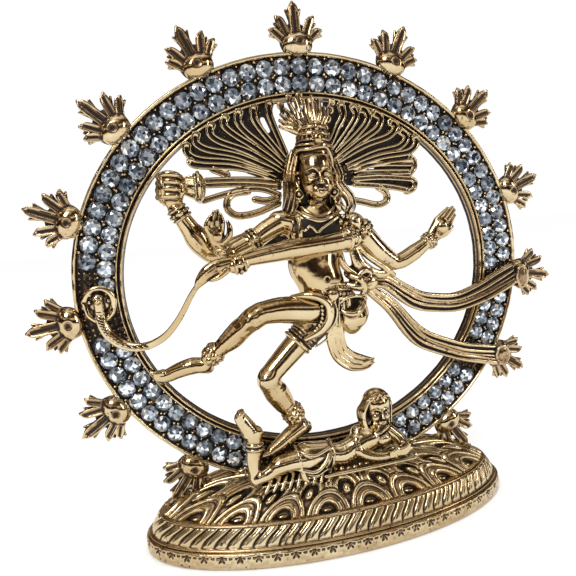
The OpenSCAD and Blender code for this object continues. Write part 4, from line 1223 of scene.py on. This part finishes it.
def raised_leg():
    c = Clay((-35.6, -10, 31.6), (1.6, 1.4, 47.6), 0.14)
    c.tube([(0.4, -4.6, 43.1), (-3.4, -5, 43.2), (-8.6, -6, 43.9), (-12.4, -6.9, 43.9)],
           [2.75, 2.7, 2.45, 2.1])
    c.ball((-14.2, -7, 43.2), (2.05, 1.95, 1.9), 1.2)
    c.ball((-14.6, -8.2, 43.3), (1, 0.9, 1), 0.8)
    c.tube([(-14.2, -6.8, 42.8), (-16.4, -6.1, 41.3), (-19, -5.2, 39), (-22.2, -3.9, 36.3)],
           [1.95, 2.05, 1.75, 1.15], k=0.8)
    c.ball((-17.2, -5.2, 40), (1.8, 1.7, 2.7), 0.9, turn=(0, 50, 0))
    c.tube([(-15.2, -8.7, 42.6), (-18.3, -7, 40), (-21.4, -5.4, 37.3)], [0.3, 0.28, 0.2], k=0.9)
    c.tube([(-22, -4, 36.5), (-22.8, -3.4, 35.4), (-23.6, -3.2, 34.9)], [1.15, 1.25, 1.2], k=0.3)
    c.ball((-22.8, -2.5, 34.2), (1.3, 1.1, 1.15), 0.6)
    c.tube([(-23.4, -3, 34.9), (-25.6, -2.9, 35), (-28, -2.4, 34.4), (-30.2, -1.9, 33.6),
            (-31.8, -1.4, 33.6)], [1.4, 1.6, 1.45, 1.25, 1.1], k=0.6)
    c.tube([(-31, -1.4, 33.4), (-31.5, -0.9, 32.4), (-31, -0.6, 31.7)], [0.8, 0.6, 0.32], k=0.3)
    for i in range(4):
        c.tube([(-30.8, -2.5 + 0.45 * i, 34.3), (-32.2, -2 + 0.4 * i, 34.2),
                (-33.2, -1.5 + 0.35 * i, 34.6)], [0.45, 0.42, 0.32])
    c.cast("raised_leg")


def standing_leg():
    c = Clay((-17.6, -8.8, 15.6), (-1.6, 1.2, 39.6), 0.13)
    c.tube([(-4.6, -3, 37.4), (-7.2, -3.5, 35.3), (-9.6, -4.1, 33.3), (-11.6, -4.6, 31.6)],
           [2.5, 2.35, 2.15, 2])
    c.ball((-12.1, -4.9, 30.9), (1.9, 1.9, 1.85), 1)
    c.ball((-12.6, -6, 31), (0.95, 0.8, 0.95), 0.8)
    c.tube([(-12, -4.5, 30.4), (-10.6, -3.8, 28), (-9.2, -3.1, 25.6), (-7.2, -2.4, 22.4)],
           [2, 2.35, 2.1, 1.4], k=0.7)
    c.ball((-10, -2.9, 27.4), (2, 1.8, 3), 0.9, turn=(0, -30, 0))
    c.tube([(-12.2, -6.2, 30.2), (-10.4, -5.3, 27), (-8.3, -3.9, 23.8)], [0.3, 0.28, 0.2], k=0.9)
    c.tube([(-7, -2.4, 22.2), (-6.2, -2.6, 20.9), (-6.4, -2.9, 20.2)], [1.25, 1.35, 1.3], k=0.5)
    c.ball((-5.3, -2.4, 19.7), (1.55, 1.4, 1.4), 0.6)
    c.tube([(-6.2, -3, 20.1), (-8.6, -4.2, 19.3), (-10.8, -5, 18.2), (-12.6, -5.6, 17.5)],
           [1.65, 1.55, 1.3, 1], k=0.5)
    for i, (dx, dy) in enumerate(((0, 0), (0.15, 0.5), (0.4, 0.95), (0.7, 1.35), (1.1, 1.7))):
        c.tube([(-12.2 + dx, -6 + dy, 17.6), (-13.4 + dx, -6.4 + dy, 17.3),
                (-14.4 + dx * 1.4, -6.6 + dy, 17.2)], [0.42 - 0.03 * i, 0.4 - 0.03 * i, 0.28], k=0.12)
    # Painted shade: this leg is a little darker all over.
    c.cast("standing_leg", extra_shade=0.03)


shorts()
raised_leg()
standing_leg()

# ---------------------------------------------------------------- sashes
def turned(pts):
    """The long sashes lie in a sheet turned 3 degrees about the hip."""
    c, s = cos(radians(3)), sin(radians(3))
    return [(10 + (x - 10) * c - y * s, -3.2 + (x - 10) * s + y * c, z) for x, y, z in pts]


def sash(node_name, pts, w, ruffle, boss, size):
    """A pleated band that widens as w along pts and ends in an eyed boss of that size and turn."""
    p = np.array(turned([(x, 0, z) for x, z in pts]))
    c = Clay((p[:, 0].min() - 2.6, -5.6, p[:, 2].min() - 3.4),
             (p[:, 0].max() + 4.6, 1.6, p[:, 2].max() + 3.6), 0.14)
    d, _ = spline(p, 1, 8)
    n = len(d)
    wide = np.interp(np.linspace(0, 1, n), np.linspace(0, 1, len(w)), w)
    wave = 0.35 * np.sin(np.linspace(0, ruffle * pi, n))
    for f in np.linspace(-1, 1, 11):
        q = sideways(d, wide * f * 0.5)
        q[:, 1] += wave * f
        c.tube(q, 0.32, fine=1, flat=1)
    along = np.linspace(0, 1, n)
    for f, r in ((-1, 0.4), (-0.46, 0.36), (0.02, 0.28), (0.46, 0.34), (1, 0.42)):
        for s in (-1, 1):
            q = sideways(d, wide * (f + 0.1 * np.sin(5 * along + 3 * f)) * 0.5)
            q[:, 1] += wave * f + 0.44 * s
            c.tube(q, r * (1 + 0.2 * np.sin(7 * along + 5 * f)), k=0.04, fine=1)
    at = V(*boss)
    c.ball(at, (size[0], 1.3, size[1]), 0.15, turn=(0, size[2], 0))
    a = np.linspace(0, 2 * pi, 25)
    c.tube(at + np.stack([size[0] * 0.82 * np.cos(a), -0.75 + 0 * a, size[1] * 0.82 * np.sin(a)], -1), 0.24,
           k=0.06, fine=1)
    p, q, shade = c.skin(1.5)
    # The middle of the boss front is darker; the whole sash gets deeper hollow shading, patina and painted
    # shade, and is a little darker.
    eye = ((p[:, 0] - at[0]) / size[0]) ** 2 + ((p[:, 2] - at[2]) / size[1]) ** 2 < 0.42
    cast(node_name, p, q, shade * 1.25 + 0.09 + 0.16 * (eye & (p[:, 1] < at[1] - 0.5)))


sash("sash_upper",
     [(10, 47.4), (13.5, 46.8), (17.2, 44.2), (20, 42.4), (23.1, 41.4), (29, 40.7), (35.2, 42), (40, 43.8),
      (43.4, 45.2)], [1.8, 2.4, 3, 3.2, 3.2, 3.3, 3.5, 3.6], 3, (45, -1.5, 44.5), (1.6, 2.8, 0))
sash("sash_lower",
     [(10, 45.6), (14.3, 41.8), (18.2, 36.8), (20.6, 34.4), (23.4, 32.8), (29.6, 30.2), (34, 29),
      (38, 28.1)], [1.6, 2.2, 2.9, 3.2, 3.2, 3.2, 3.2, 3.2], 2.5, (39.5, -1.7, 28.1), (1.9, 2.4, 10))


def knot():
    c = Clay((2.2, -8.8, 39.6), (15.6, 0.4, 56), 0.12)
    c.ball((7.2, -4.6, 47.2), (2, 1.5, 1.7))
    c.ball((9.4, -4.2, 47), (1.9, 1.1, 1.6), 0.5)
    c.tube([(5.6, -5.4, 48.7), (6.9, -6.4, 47.9), (7.9, -5.9, 46.3), (7.4, -5.6, 45)],
           [0.6, 0.62, 0.6, 0.5])
    c.tube([(4.6, -5.2, 47.2), (6.4, -6.2, 46.6), (8.4, -5.4, 46.9), (10.6, -4.2, 47.2)],
           [0.6, 0.62, 0.6, 0.7])
    c.tube([(7, -4.8, 48.4), (8.4, -4.8, 49.4), (9.8, -4.4, 48.9), (9.2, -4.6, 47.7)],
           [0.5, 0.55, 0.5, 0.45])
    c.hoop((6.7, -6.2, 46.9), (0, 1, 0.1), 0.85, 0.24, 0.05)
    beads(c, [(7.6, -5.9, 45.8), (7.9, -6, 44.6), (7.7, -5.8, 43.4)], 0.44, 0.8)
    c.tube([(7.7, -5.5, 43.6), (7.5, -5.3, 42)], [0.55, 0.35])
    c.tube([(4, -4.4, 54.6), (4, -4.8, 52.4), (4.6, -4.8, 50.6), (6.4, -4.8, 49)], [0.45, 0.6, 0.65, 0.6])
    c.tube([(7.6, -3.8, 54.2), (9.6, -3.6, 52.2), (11.8, -3.5, 50.5), (13.6, -3.4, 49.2),
            (15.2, -3.3, 47.9)], [0.45, 0.55, 0.6, 0.6, 0.45])
    c.tube([(6.6, -3.9, 54.6), (7.2, -4, 52.6), (7.8, -4, 50.8), (9.2, -3.9, 49.4), (11.2, -3.7, 48.5),
            (13.6, -3.5, 48.2)], [0.8, 1.15, 1.4, 1.35, 1, 0.6], k=0.3, flat=0.6)
    c.ball((6.6, -3.6, 49.2), (1.9, 0.7, 1.4), 0.5)
    fold = [(6.7, -4.7, 53.6), (7.2, -4.9, 51.2), (8.8, -4.8, 49.4), (11.2, -4.4, 48.5)]
    ribbed(c, fold, [-0.45, 0.1, 0.5], 0.14, k=0.1, cut=True)
    c.cast("sash_knot")


def hip_sash():
    pts = [(1.8, 41.4), (1.5, 38.6), (1.6, 36.4), (2.3, 34.2), (4.2, 32.5), (6.6, 31.8), (8.6, 32)]
    c = Clay((-1.6, -8.6, 28.8), (10.6, -2.6, 43.6), 0.12)
    p = lift(pts, (-5.4, -5.9))
    d, _ = spline(p, 1, 6)
    wide = np.interp(np.linspace(0, 1, len(d)), [0, 0.2, 0.7, 0.9, 1], [1.9, 2.8, 2.9, 2, 0.7])
    slim = np.interp(np.linspace(0, 1, len(d)), [0, 0.8, 1], [1, 0.9, 0.35])
    for f in np.linspace(-1, 1, 11):
        c.tube(sideways(d, wide * f * 0.5), 0.5 * slim, k=0.15, fine=1, flat=1)
    for f in (-1, -0.35, 0.35, 1):
        q = sideways(d, wide * f * 0.5)
        q[:, 1] -= 0.35
        c.tube(q, 0.3 * slim, k=0.06, fine=1)
    for x, z in ((8.9, 31.5), (9, 32.4)):
        c.tube([(6.6, -5.9, 31.9), (7.9, -5.9, (31.9 + z) / 2), (x, -5.9, z)], [0.6, 0.42, 0.14])
    c.cast("hip_sash")


def pouch():
    c = Clay((-0.2, -9.4, 35.2), (10.2, -1.4, 47), 0.12)
    c.ball((4.8, -5.2, 42.6), (2.9, 2.2, 2.4), turn=(0, -20, 0))
    c.cone((5.5, -5.3, 41.2), (5, -5.2, 39.4), 2.5, 1.9, k=1)
    c.ball((4.6, -7.2, 43.6), (1.55, 2, 1.1), 0.15, cut=True, turn=(0, -12, 0))
    c.tube([(2.2, -6.2, 43.2), (3, -7.1, 44.6), (4.8, -7.3, 45.1), (6.6, -6.6, 44.9), (7.4, -5.4, 44)],
           [0.3, 0.34, 0.34, 0.34, 0.3])
    c.tube([(2.2, -6.4, 43.2), (3.2, -7.5, 42.2), (4.9, -7.9, 41.9), (6.6, -7, 42.7), (7.5, -5.6, 44)],
           [0.3, 0.42, 0.5, 0.45, 0.35], k=0.12)
    c.ball((5.3, -5.6, 40.4), (2.6, 2.2, 1.7), 0.9)
    c.tube([(7.4, -6.2, 43.2), (7.7, -6, 41.4), (7, -5.6, 39.6)], [0.5, 0.6, 0.5], k=0.5)
    p, q, shade = c.skin()
    # Painted shade: the inside of the pouch's opening is near black.
    well = ((p[:, 0] - 4.6) / 1.8) ** 2 + ((p[:, 2] - 43.6) / 1.4) ** 2 < 1
    cast("hip_pouch", p, q, np.where(well & (p[:, 1] < -4) & (p[:, 1] > -7.2), 0.9, shade))


knot()
hip_sash()
pouch()

# ---------------------------------------------------------------- snake
def cobra():
    c = Clay((-44.8, -10.8, 37.6), (-22, 1, 54.4), 0.12)
    body = [(-23.3, -8.8, 50.2), (-24.6, -8, 48.4), (-25.9, -7.1, 46.2), (-27.6, -6, 43.7),
            (-30, -4.8, 41.3), (-33.3, -3.6, 39.9), (-36.6, -2.6, 40.2), (-39, -2.2, 42),
            (-40.1, -1.9, 43.9), (-40.5, -1.8, 45.6)]
    r = [0.46, 0.5, 0.54, 0.58, 0.64, 0.74, 0.88, 0.98, 1, 0.9]
    c.tube(body, r, flat=0.8)
    ribbed(c, body, [(-0.24, -0.58), (0.24, 0.58)], (0.19, 0.32), k=0.03, y=-0.3)
    p, _ = spline(body[5:], 1, 10)
    for q in p[::3]:
        c.tube([q + V(-0.5, -0.75, 0.3), q + V(0, -1, 0), q + V(0.5, -0.75, -0.3)], 0.12, k=0.06)
    at = V(-40.5, -1, 48.3)
    c.ball(at + V(0, 0.5, 0), (2.4, 0.6, 2.5), 0.1)
    c.hoop(at + V(0, 0.1, 0.1), (0.05, 1, 0.1), 2.45, 0.62, 0.1)
    for s in (-1, 1):
        c.tube([at + V(2.4 * s, 0, 0), at + V(2 * s, -0.2, -2), at + V(0.8 * s, -0.5, -3.2)],
               [0.5, 0.5, 0.4], k=0.15)
        c.ball(at + V(0.45 * s, -1.5, 0.9), 0.26, 0.03)
    c.tube([at + V(0, -0.4, -3), at + V(0, -0.7, -1.2), at + V(0, -0.9, 0.2)], [0.95, 0.85, 0.75], k=0.15)
    c.ball(at + V(0, -1.1, 0.9), (0.85, 0.7, 0.75), 0.2)
    c.ball(at + V(0, -1.7, 0.35), (0.6, 0.6, 0.45), 0.15)
    for z in (-2.4, -1.7, -1, -0.3):
        c.tube([at + V(-0.6, -1.25, z + 0.15), at + V(0, -1.5, z), at + V(0.6, -1.25, z + 0.15)], 0.12,
               k=0.05)
    for dx, dz in ((-1.3, 1.5), (-1.6, 0.2), (1.3, 1.5), (1.6, 0.2), (0, 2)):
        c.ball(at + V(dx, -0.3, dz), (0.34, 0.3, 0.34), 0.05)
    c.cast("cobra")


cobra()

# ---------------------------------------------------------------- lying figure and its plank
def slab():
    c = Clay((-17.4, -10.4, 10.4), (17.2, -1.4, 14), 0.14)
    c.plate([(-15.5, 11.5), (15, 11.5), (15, 12.2), (-15.5, 12.1)], -8.4, -3.5, edge=0.25)
    c.tube([(-3.4, -8.9, 12.1), (6, -9.1, 12.3), (14.8, -8.8, 12.4)], 0.34, k=0.06)
    c.tube([(-15.2, -8.3, 12), (-10.4, -8.5, 12.1)], 0.26)
    c.tube([(-9.4, -8.4, 12.1), (-4.6, -8.5, 12.2)], 0.2)
    g = np.random.default_rng(5)
    for x in np.arange(-14.6, -1.6, 1.5):
        lean = g.uniform(-0.3, 0.9)
        c.tube([(x - 0.4, -9, 11.3), (x + 0.3 + lean * 0.4, -8.3, 12.3), (x + 1 + lean, -6.9, 13.2)],
               [0.3, 0.38, 0.28], k=0.08)
    for x in np.arange(-1, 14.4, 1.3):
        c.ball((x, -7.2 + g.uniform(-0.5, 0.5), 12.2), (0.6, 0.6, 0.4), 0.15)
    for x in (-12.6, -9.6, -6.6, 9.4, 12.4):
        c.cone((x, -7.6, 11.8), (x + 0.3, -7.4, 13.1), 0.5, 0.4, k=0.15)
    c.cast("platform_slab", mat=GOLD_SOFT)


def dwarf_body():
    c = Clay((-8.6, -9.6, 11.2), (14.4, -1.6, 21.6), 0.12)
    c.cone((-4.6, -6, 15.2), (1, -6, 14.6), 2.3, 1.9)
    c.cone((1, -6, 14.6), (6.8, -5.8, 16.8), 1.9, 2.4, k=0.8)
    c.cone((4.6, -5.5, 18), (10.8, -5.2, 17), 1.45, 1.35, k=0.8)
    for x, z in ((6.6, 16.6), (9.2, 16.4)):
        c.ball((x, -7.3, z), (1.5, 0.8, 1.2), 0.4)
    c.cone((8.2, -5.3, 17.6), (8.9, -5, 19.8), 1.25, 1.05, k=0.5)
    c.tube([(6.6, -6.9, 18.7), (8.2, -7.5, 17.9), (10, -6.9, 18.4)], 0.26, k=0.06)
    beads(c, [(5.8, -7, 18.2), (8.2, -7.9, 17.2), (10.8, -6.8, 17.9)], 0.22, 0.5)
    c.ball((3.6, -7.9, 15.6), (0.25, 0.3, 0.25), 0.15, cut=True)
    for x in (1.6, 2.3):
        c.hoop((x, -5.9, 14.8), (0.95, 0, 0.2), 2, 0.18, 0.1)
    c.cast("dwarf_torso")


def dwarf_head():
    c = Clay((4.6, -9.4, 17), (13.2, -1, 26.6), 0.1)
    for i in range(4):
        c.tube([(7.2 - 0.25 * i, -6 + 0.5 * i, 24.2 - 0.3 * i), (6 - 0.2 * i, -6 + 0.4 * i, 22),
                (5.9 - 0.1 * i, -6.2 + 0.4 * i, 19.8), (6.6, -6.6 + 0.4 * i, 18)], [0.4, 0.5, 0.48, 0.3],
               k=0.05)
    c.ball((9.2, -4.8, 22.9), (2.55, 2.6, 2.7))
    c.ball((9.1, -5.4, 21.3), (2.1, 2, 2.3), 0.6)
    c.ball((9, -6.6, 19.6), (0.8, 0.7, 0.55), 0.5)
    c.ball((9.2, -4.4, 23.3), (2.85, 2.6, 2.6), 0.2)
    for s in (-1, 1):
        x = lambda v: 9.1 + s * v
        c.ball((x(1.05), -6.75, 20.9), (0.8, 0.7, 0.75), 0.4)
        c.ball((x(0.85), -7.35, 21.95), (0.6, 0.45, 0.34), 0.2, cut=True)
        c.ball((x(0.85), -7.15, 21.9), (0.5, 0.4, 0.26), 0.05)
        c.tube([(x(0.3), -7.4, 22.35), (x(0.9), -7.4, 22.65), (x(1.6), -6.8, 22.4)], [0.16, 0.18, 0.12],
               k=0.12)
        c.tube([(x(2.1), -4.8, 24.2), (x(2.6), -4.4, 22.4), (x(2.55), -4.4, 20.6), (x(2.5), -4.8, 18.9)],
               [0.6, 0.85, 0.8, 0.5], k=0.2, flat=0.9)
        for d in (-0.3, 0.2):
            c.tube([(x(2.1 + d), -5.5, 24), (x(2.7 + d), -5.3, 22.2), (x(2.6 + d), -5.3, 20.4),
                    (x(2.5 + d), -5.5, 19)], 0.16, k=0.04)
        for i in range(3):
            a = 0.5 + 0.7 * i
            c.tube([(9.2, -6.6 + 0.2 * i, 25.2), (x(a), -6.8 + 0.25 * i, 24.6),
                    (x(a + 0.9), -6.2 + 0.4 * i, 23.6)], [0.14, 0.18, 0.12], k=0.05)
    c.tube([(9.1, -7.35, 22.4), (9.1, -7.75, 21.6), (9.1, -8, 21.1)], [0.17, 0.22, 0.32], k=0.2)
    c.ball((9.1, -7.45, 20.05), (0.85, 0.4, 0.42), 0.3)
    c.tube([(8.45, -7.55, 20.2), (9.1, -7.95, 20.28), (9.75, -7.55, 20.2)], [0.1, 0.17, 0.1], k=0.08)
    c.tube([(8.5, -7.55, 19.95), (9.1, -7.9, 19.88), (9.7, -7.55, 19.95)], [0.1, 0.19, 0.1], k=0.08)
    c.ball((9.2, -6.6, 25.2), (0.5, 0.5, 0.3), 0.1)
    c.cast("dwarf_head")


def dwarf_arms():
    c = Clay((1.2, -11.6, 11.6), (16.2, -2.6, 20.8), 0.12)
    c.tube([(4.6, -5.6, 18.2), (3.9, -6.6, 16.8), (3.8, -7.4, 15.4)], [1.35, 1.2, 1])
    c.tube([(3.8, -7.4, 15.2), (6, -8.3, 14.2), (8.4, -8.8, 13.9), (11.6, -9, 14.1)], [1, 0.95, 0.8, 0.62],
           k=0.3)
    c.tube([(11, -5.3, 17.4), (12.6, -6.2, 15.9), (13.4, -7.2, 14.8)], [1.3, 1.15, 0.95])
    c.tube([(13.4, -7.3, 14.6), (12.4, -8.6, 14.6), (11, -9.2, 14.9)], [0.9, 0.75, 0.55], k=0.3)
    for i in range(4):
        c.tube([(11.4, -9.1 - 0.1 * i, 13.8 + 0.32 * i), (12.6, -9.5, 14 + 0.36 * i),
                (13.7, -9.2, 14.5 + 0.34 * i)], [0.3, 0.28, 0.18], k=0.06)
    for i in range(4):
        c.tube([(11.2, -9.3, 15.2 - 0.28 * i), (10.2, -9.7, 14.9 - 0.3 * i), (9.4, -9.7, 14.7 - 0.3 * i)],
               [0.28, 0.26, 0.18], k=0.06)
    for at, n, r in (((10.6, -9, 14), (1, -0.1, 0.1), 0.72), ((4.1, -6.2, 17.4), (-0.3, -0.5, -0.8), 1.3)):
        c.hoop(at, n, r, 0.26, 0.05)
    c.cast("dwarf_arms")


def dwarf_legs():
    c = Clay((-20.8, -10.4, 10.6), (-2.4, -2.2, 28.2), 0.12)
    c.tube([(-5.4, -6.8, 15), (-8.4, -7.2, 15.4), (-11.2, -7.4, 15.3)], [2.1, 1.95, 1.7])
    c.ball((-12, -7.5, 15.1), (1.6, 1.5, 1.6), 0.6)
    c.tube([(-12.2, -7.4, 14.9), (-14.2, -7.4, 13.9), (-16.2, -7.1, 13.1)], [1.5, 1.35, 1.1], k=0.4)
    c.tube([(-16.2, -7, 13), (-16.4, -6.7, 15), (-16.3, -6.3, 17), (-15.9, -6.1, 18.6)],
           [1, 1.15, 1.35, 1.5], k=0.5)
    c.hoop((-15.9, -6.1, 18.7), (0.1, 0.1, 1), 1.5, 0.36, 0.06)
    c.hoop((-15.9, -6.1, 19.5), (0.1, 0.1, 1), 1.4, 0.34, 0.06)
    c.ball((-15.3, -6, 21.6), (1.3, 1.2, 1.3), 0.4)
    c.tube([(-15.9, -6, 20.4), (-16.3, -6, 21.8), (-17.2, -6.1, 23.6), (-17.9, -6.1, 24.9)],
           [1.5, 1.7, 1.45, 1.25], k=0.3)
    for i in range(4):
        c.tube([(-17.8, -7 + 0.5 * i, 24.9), (-18.1, -7 + 0.5 * i, 25.7), (-17.5, -6.9 + 0.5 * i, 26)],
               [0.5, 0.5, 0.4])
    c.tube([(-5.6, -5, 14), (-8.6, -5, 13.9), (-11.4, -5, 13.2)], [1.7, 1.5, 1.2], k=0.3)
    c.tube([(-11.4, -5, 13.2), (-13.4, -5.4, 13.2), (-15.2, -5.6, 12.8)], [1.1, 0.9, 0.7], k=0.3)
    c.cast("dwarf_legs")


def dwarf_cloth():
    c = Clay((-10.4, -10.6, 11.2), (1.6, -2.6, 19.4), 0.12)
    c.cone((-6.2, -6.2, 15.4), (-2.6, -6.1, 15.1), 2.7, 2.5)
    c.ball((-6.4, -7.9, 15), (1.9, 1.1, 1.7), 0.5, turn=(0, 20, 0))
    for pts, r in (([(-8.4, -7.4, 17.4), (-5.4, -8.9, 16.5), (-2.2, -8.4, 17.3)], 0.34),
                   ([(-8.2, -8.6, 14.2), (-5.4, -9.4, 13.6), (-3.2, -9, 15), (-2, -8, 17)], 0.38),
                   ([(-3.2, -8.9, 14), (-2.2, -8.8, 15.4), (-1.6, -7.9, 17)], 0.3),
                   ([(-7.6, -8.4, 13.4), (-5.2, -8.9, 12.7), (-3, -8.6, 13.4)], 0.3)):
        c.tube(pts, r, k=0.12)
    c.tube([(-7.6, -8.6, 13.4), (-7.4, -8.7, 12.4), (-6.8, -8.6, 11.6)], [0.6, 0.55, 0.4], k=0.15)
    c.hoop((-1.6, -6.1, 15), (1, 0, -0.1), 2.55, 0.34, 0.08)
    c.hoop((-8.2, -6.5, 15.3), (1, 0.1, 0.05), 2.45, 0.32, 0.08)
    c.cast("dwarf_cloth")


slab()
dwarf_body()
dwarf_head()
dwarf_arms()
dwarf_legs()
dwarf_cloth()


# ---------------------------------------------------------------- stage, light and camera
AIM = (0, 0, 0.05)  # where the lights point
CAMERA_SIDE, CAMERA_UP, CAMERA_ROLL = 12.19, 6.427, -4.834  # degrees
CAMERA_AWAY, CAMERA_AIM = 96.348, (-5.696, 0, 47.138)  # mm


def stage():
    me = bpy.data.meshes.new("floor")
    r = 6
    me.from_pydata([(-r, -r, 0), (r, -r, 0), (r, r, 0), (-r, r, 0)], [], [(0, 1, 2, 3)])
    floor = bpy.data.objects.new("floor", me)
    bpy.context.scene.collection.objects.link(floor)
    m, _, b = nodes_of("pale_floor")
    b.inputs["Base Color"].default_value = (0.95, 0.95, 0.95, 1)
    b.inputs["Roughness"].default_value = 0.7
    b.inputs["Specular IOR Level"].default_value = 0
    me.materials.append(m)
    floor.location.z = -0.00002


def softbox(name, at, size, power):
    light = bpy.data.lights.new(name, "AREA")
    light.shape = "RECTANGLE"
    light.size, light.size_y = size
    light.energy = power
    o = bpy.data.objects.new(name, light)
    bpy.context.scene.collection.objects.link(o)
    o.location = at
    o.rotation_mode = "QUATERNION"
    o.rotation_quaternion = (Vector(AIM) - Vector(at)).to_track_quat("-Z", "Y")


def room_colour(t):
    """What polished metal mirrors: a dim brown room with a bright window band, over the white table."""
    co = node(t, "ShaderNodeTexCoord").outputs["Generated"]
    sep = node(t, "ShaderNodeSeparateXYZ")
    t.links.new(co, sep.inputs[0])
    up = math_node(t, "MULTIPLY_ADD", sep.outputs["Z"], 0.5, 0.5)
    patch = noise(t, co, 2.2, 1.5)
    shift = math_node(t, "MULTIPLY_ADD", patch, 0.16, math_node(t, "SUBTRACT", up, 0.08))
    room = ramp(t, shift,
                [(0, (0.66, 0.63, 0.58)), (0.43, (0.55, 0.49, 0.4)), (0.47, (0.12, 0.048, 0.014)),
                 (0.55, (0.025, 0.01, 0.003)), (0.655, (0.075, 0.032, 0.01)), (0.685, (1.1, 1, 0.85)),
                 (0.72, (0.9, 0.8, 0.65)), (0.745, (0.06, 0.026, 0.009)), (0.85, (0.16, 0.085, 0.035)),
                 (0.94, (1, 0.95, 0.85)), (1, (1.3, 1.25, 1.2))])
    dim = ramp(t, patch, [(0.4, (0.2, 0.15, 0.11)), (0.6, grey(1.12))])
    return mix_colour(t, 1, room, dim, "MULTIPLY")


def studio():
    """White all round for the eye and for dull surfaces, and the room for reflections."""
    w = bpy.data.worlds.new("studio")
    bpy.context.scene.world = w
    w.use_nodes = True
    t = w.node_tree
    plain = t.nodes["Background"]
    plain.inputs["Color"].default_value = (1, 1, 1, 1)
    plain.inputs["Strength"].default_value = 1.04
    seen = node(t, "ShaderNodeBackground", Strength=1)
    t.links.new(room_colour(t), seen.inputs["Color"])
    pick = node(t, "ShaderNodeMixShader")
    t.links.new(node(t, "ShaderNodeLightPath").outputs["Is Glossy Ray"], pick.inputs[0])
    t.links.new(plain.outputs[0], pick.inputs[1])
    t.links.new(seen.outputs[0], pick.inputs[2])
    t.links.new(pick.outputs[0], t.nodes["World Output"].inputs["Surface"])
    softbox("key", (-0.3, -0.35, 0.5), (0.24, 0.24), 1.7)
    softbox("fill", (0.45, -0.3, 0.25), (0.06, 0.3), 0.5)


def camera():
    cam = bpy.data.cameras.new("camera")
    o = bpy.data.objects.new("camera", cam)
    bpy.context.scene.collection.objects.link(o)
    az, el, roll = radians(CAMERA_SIDE), radians(CAMERA_UP), radians(CAMERA_ROLL)
    back = V(-sin(az) * cos(el), -cos(az) * cos(el), sin(el))
    right = np.cross(-back, V(0, 0, 1))
    right /= np.linalg.norm(right)
    up = np.cross(right, -back)
    columns = (right * cos(roll) + up * sin(roll), -right * sin(roll) + up * cos(roll), back,
               (V(*CAMERA_AIM) + back * CAMERA_AWAY) * MM)
    m = Matrix.Identity(4)
    for i in range(3):
        for j, column in enumerate(columns):
            m[i][j] = column[i]
    o.matrix_world = m
    cam.sensor_width = 36
    cam.lens = 30.764
    cam.clip_start, cam.clip_end = 0.001, 20
    bpy.context.scene.camera = o


stage()
studio()
camera()
bpy.context.scene.view_settings.view_transform = "Standard"
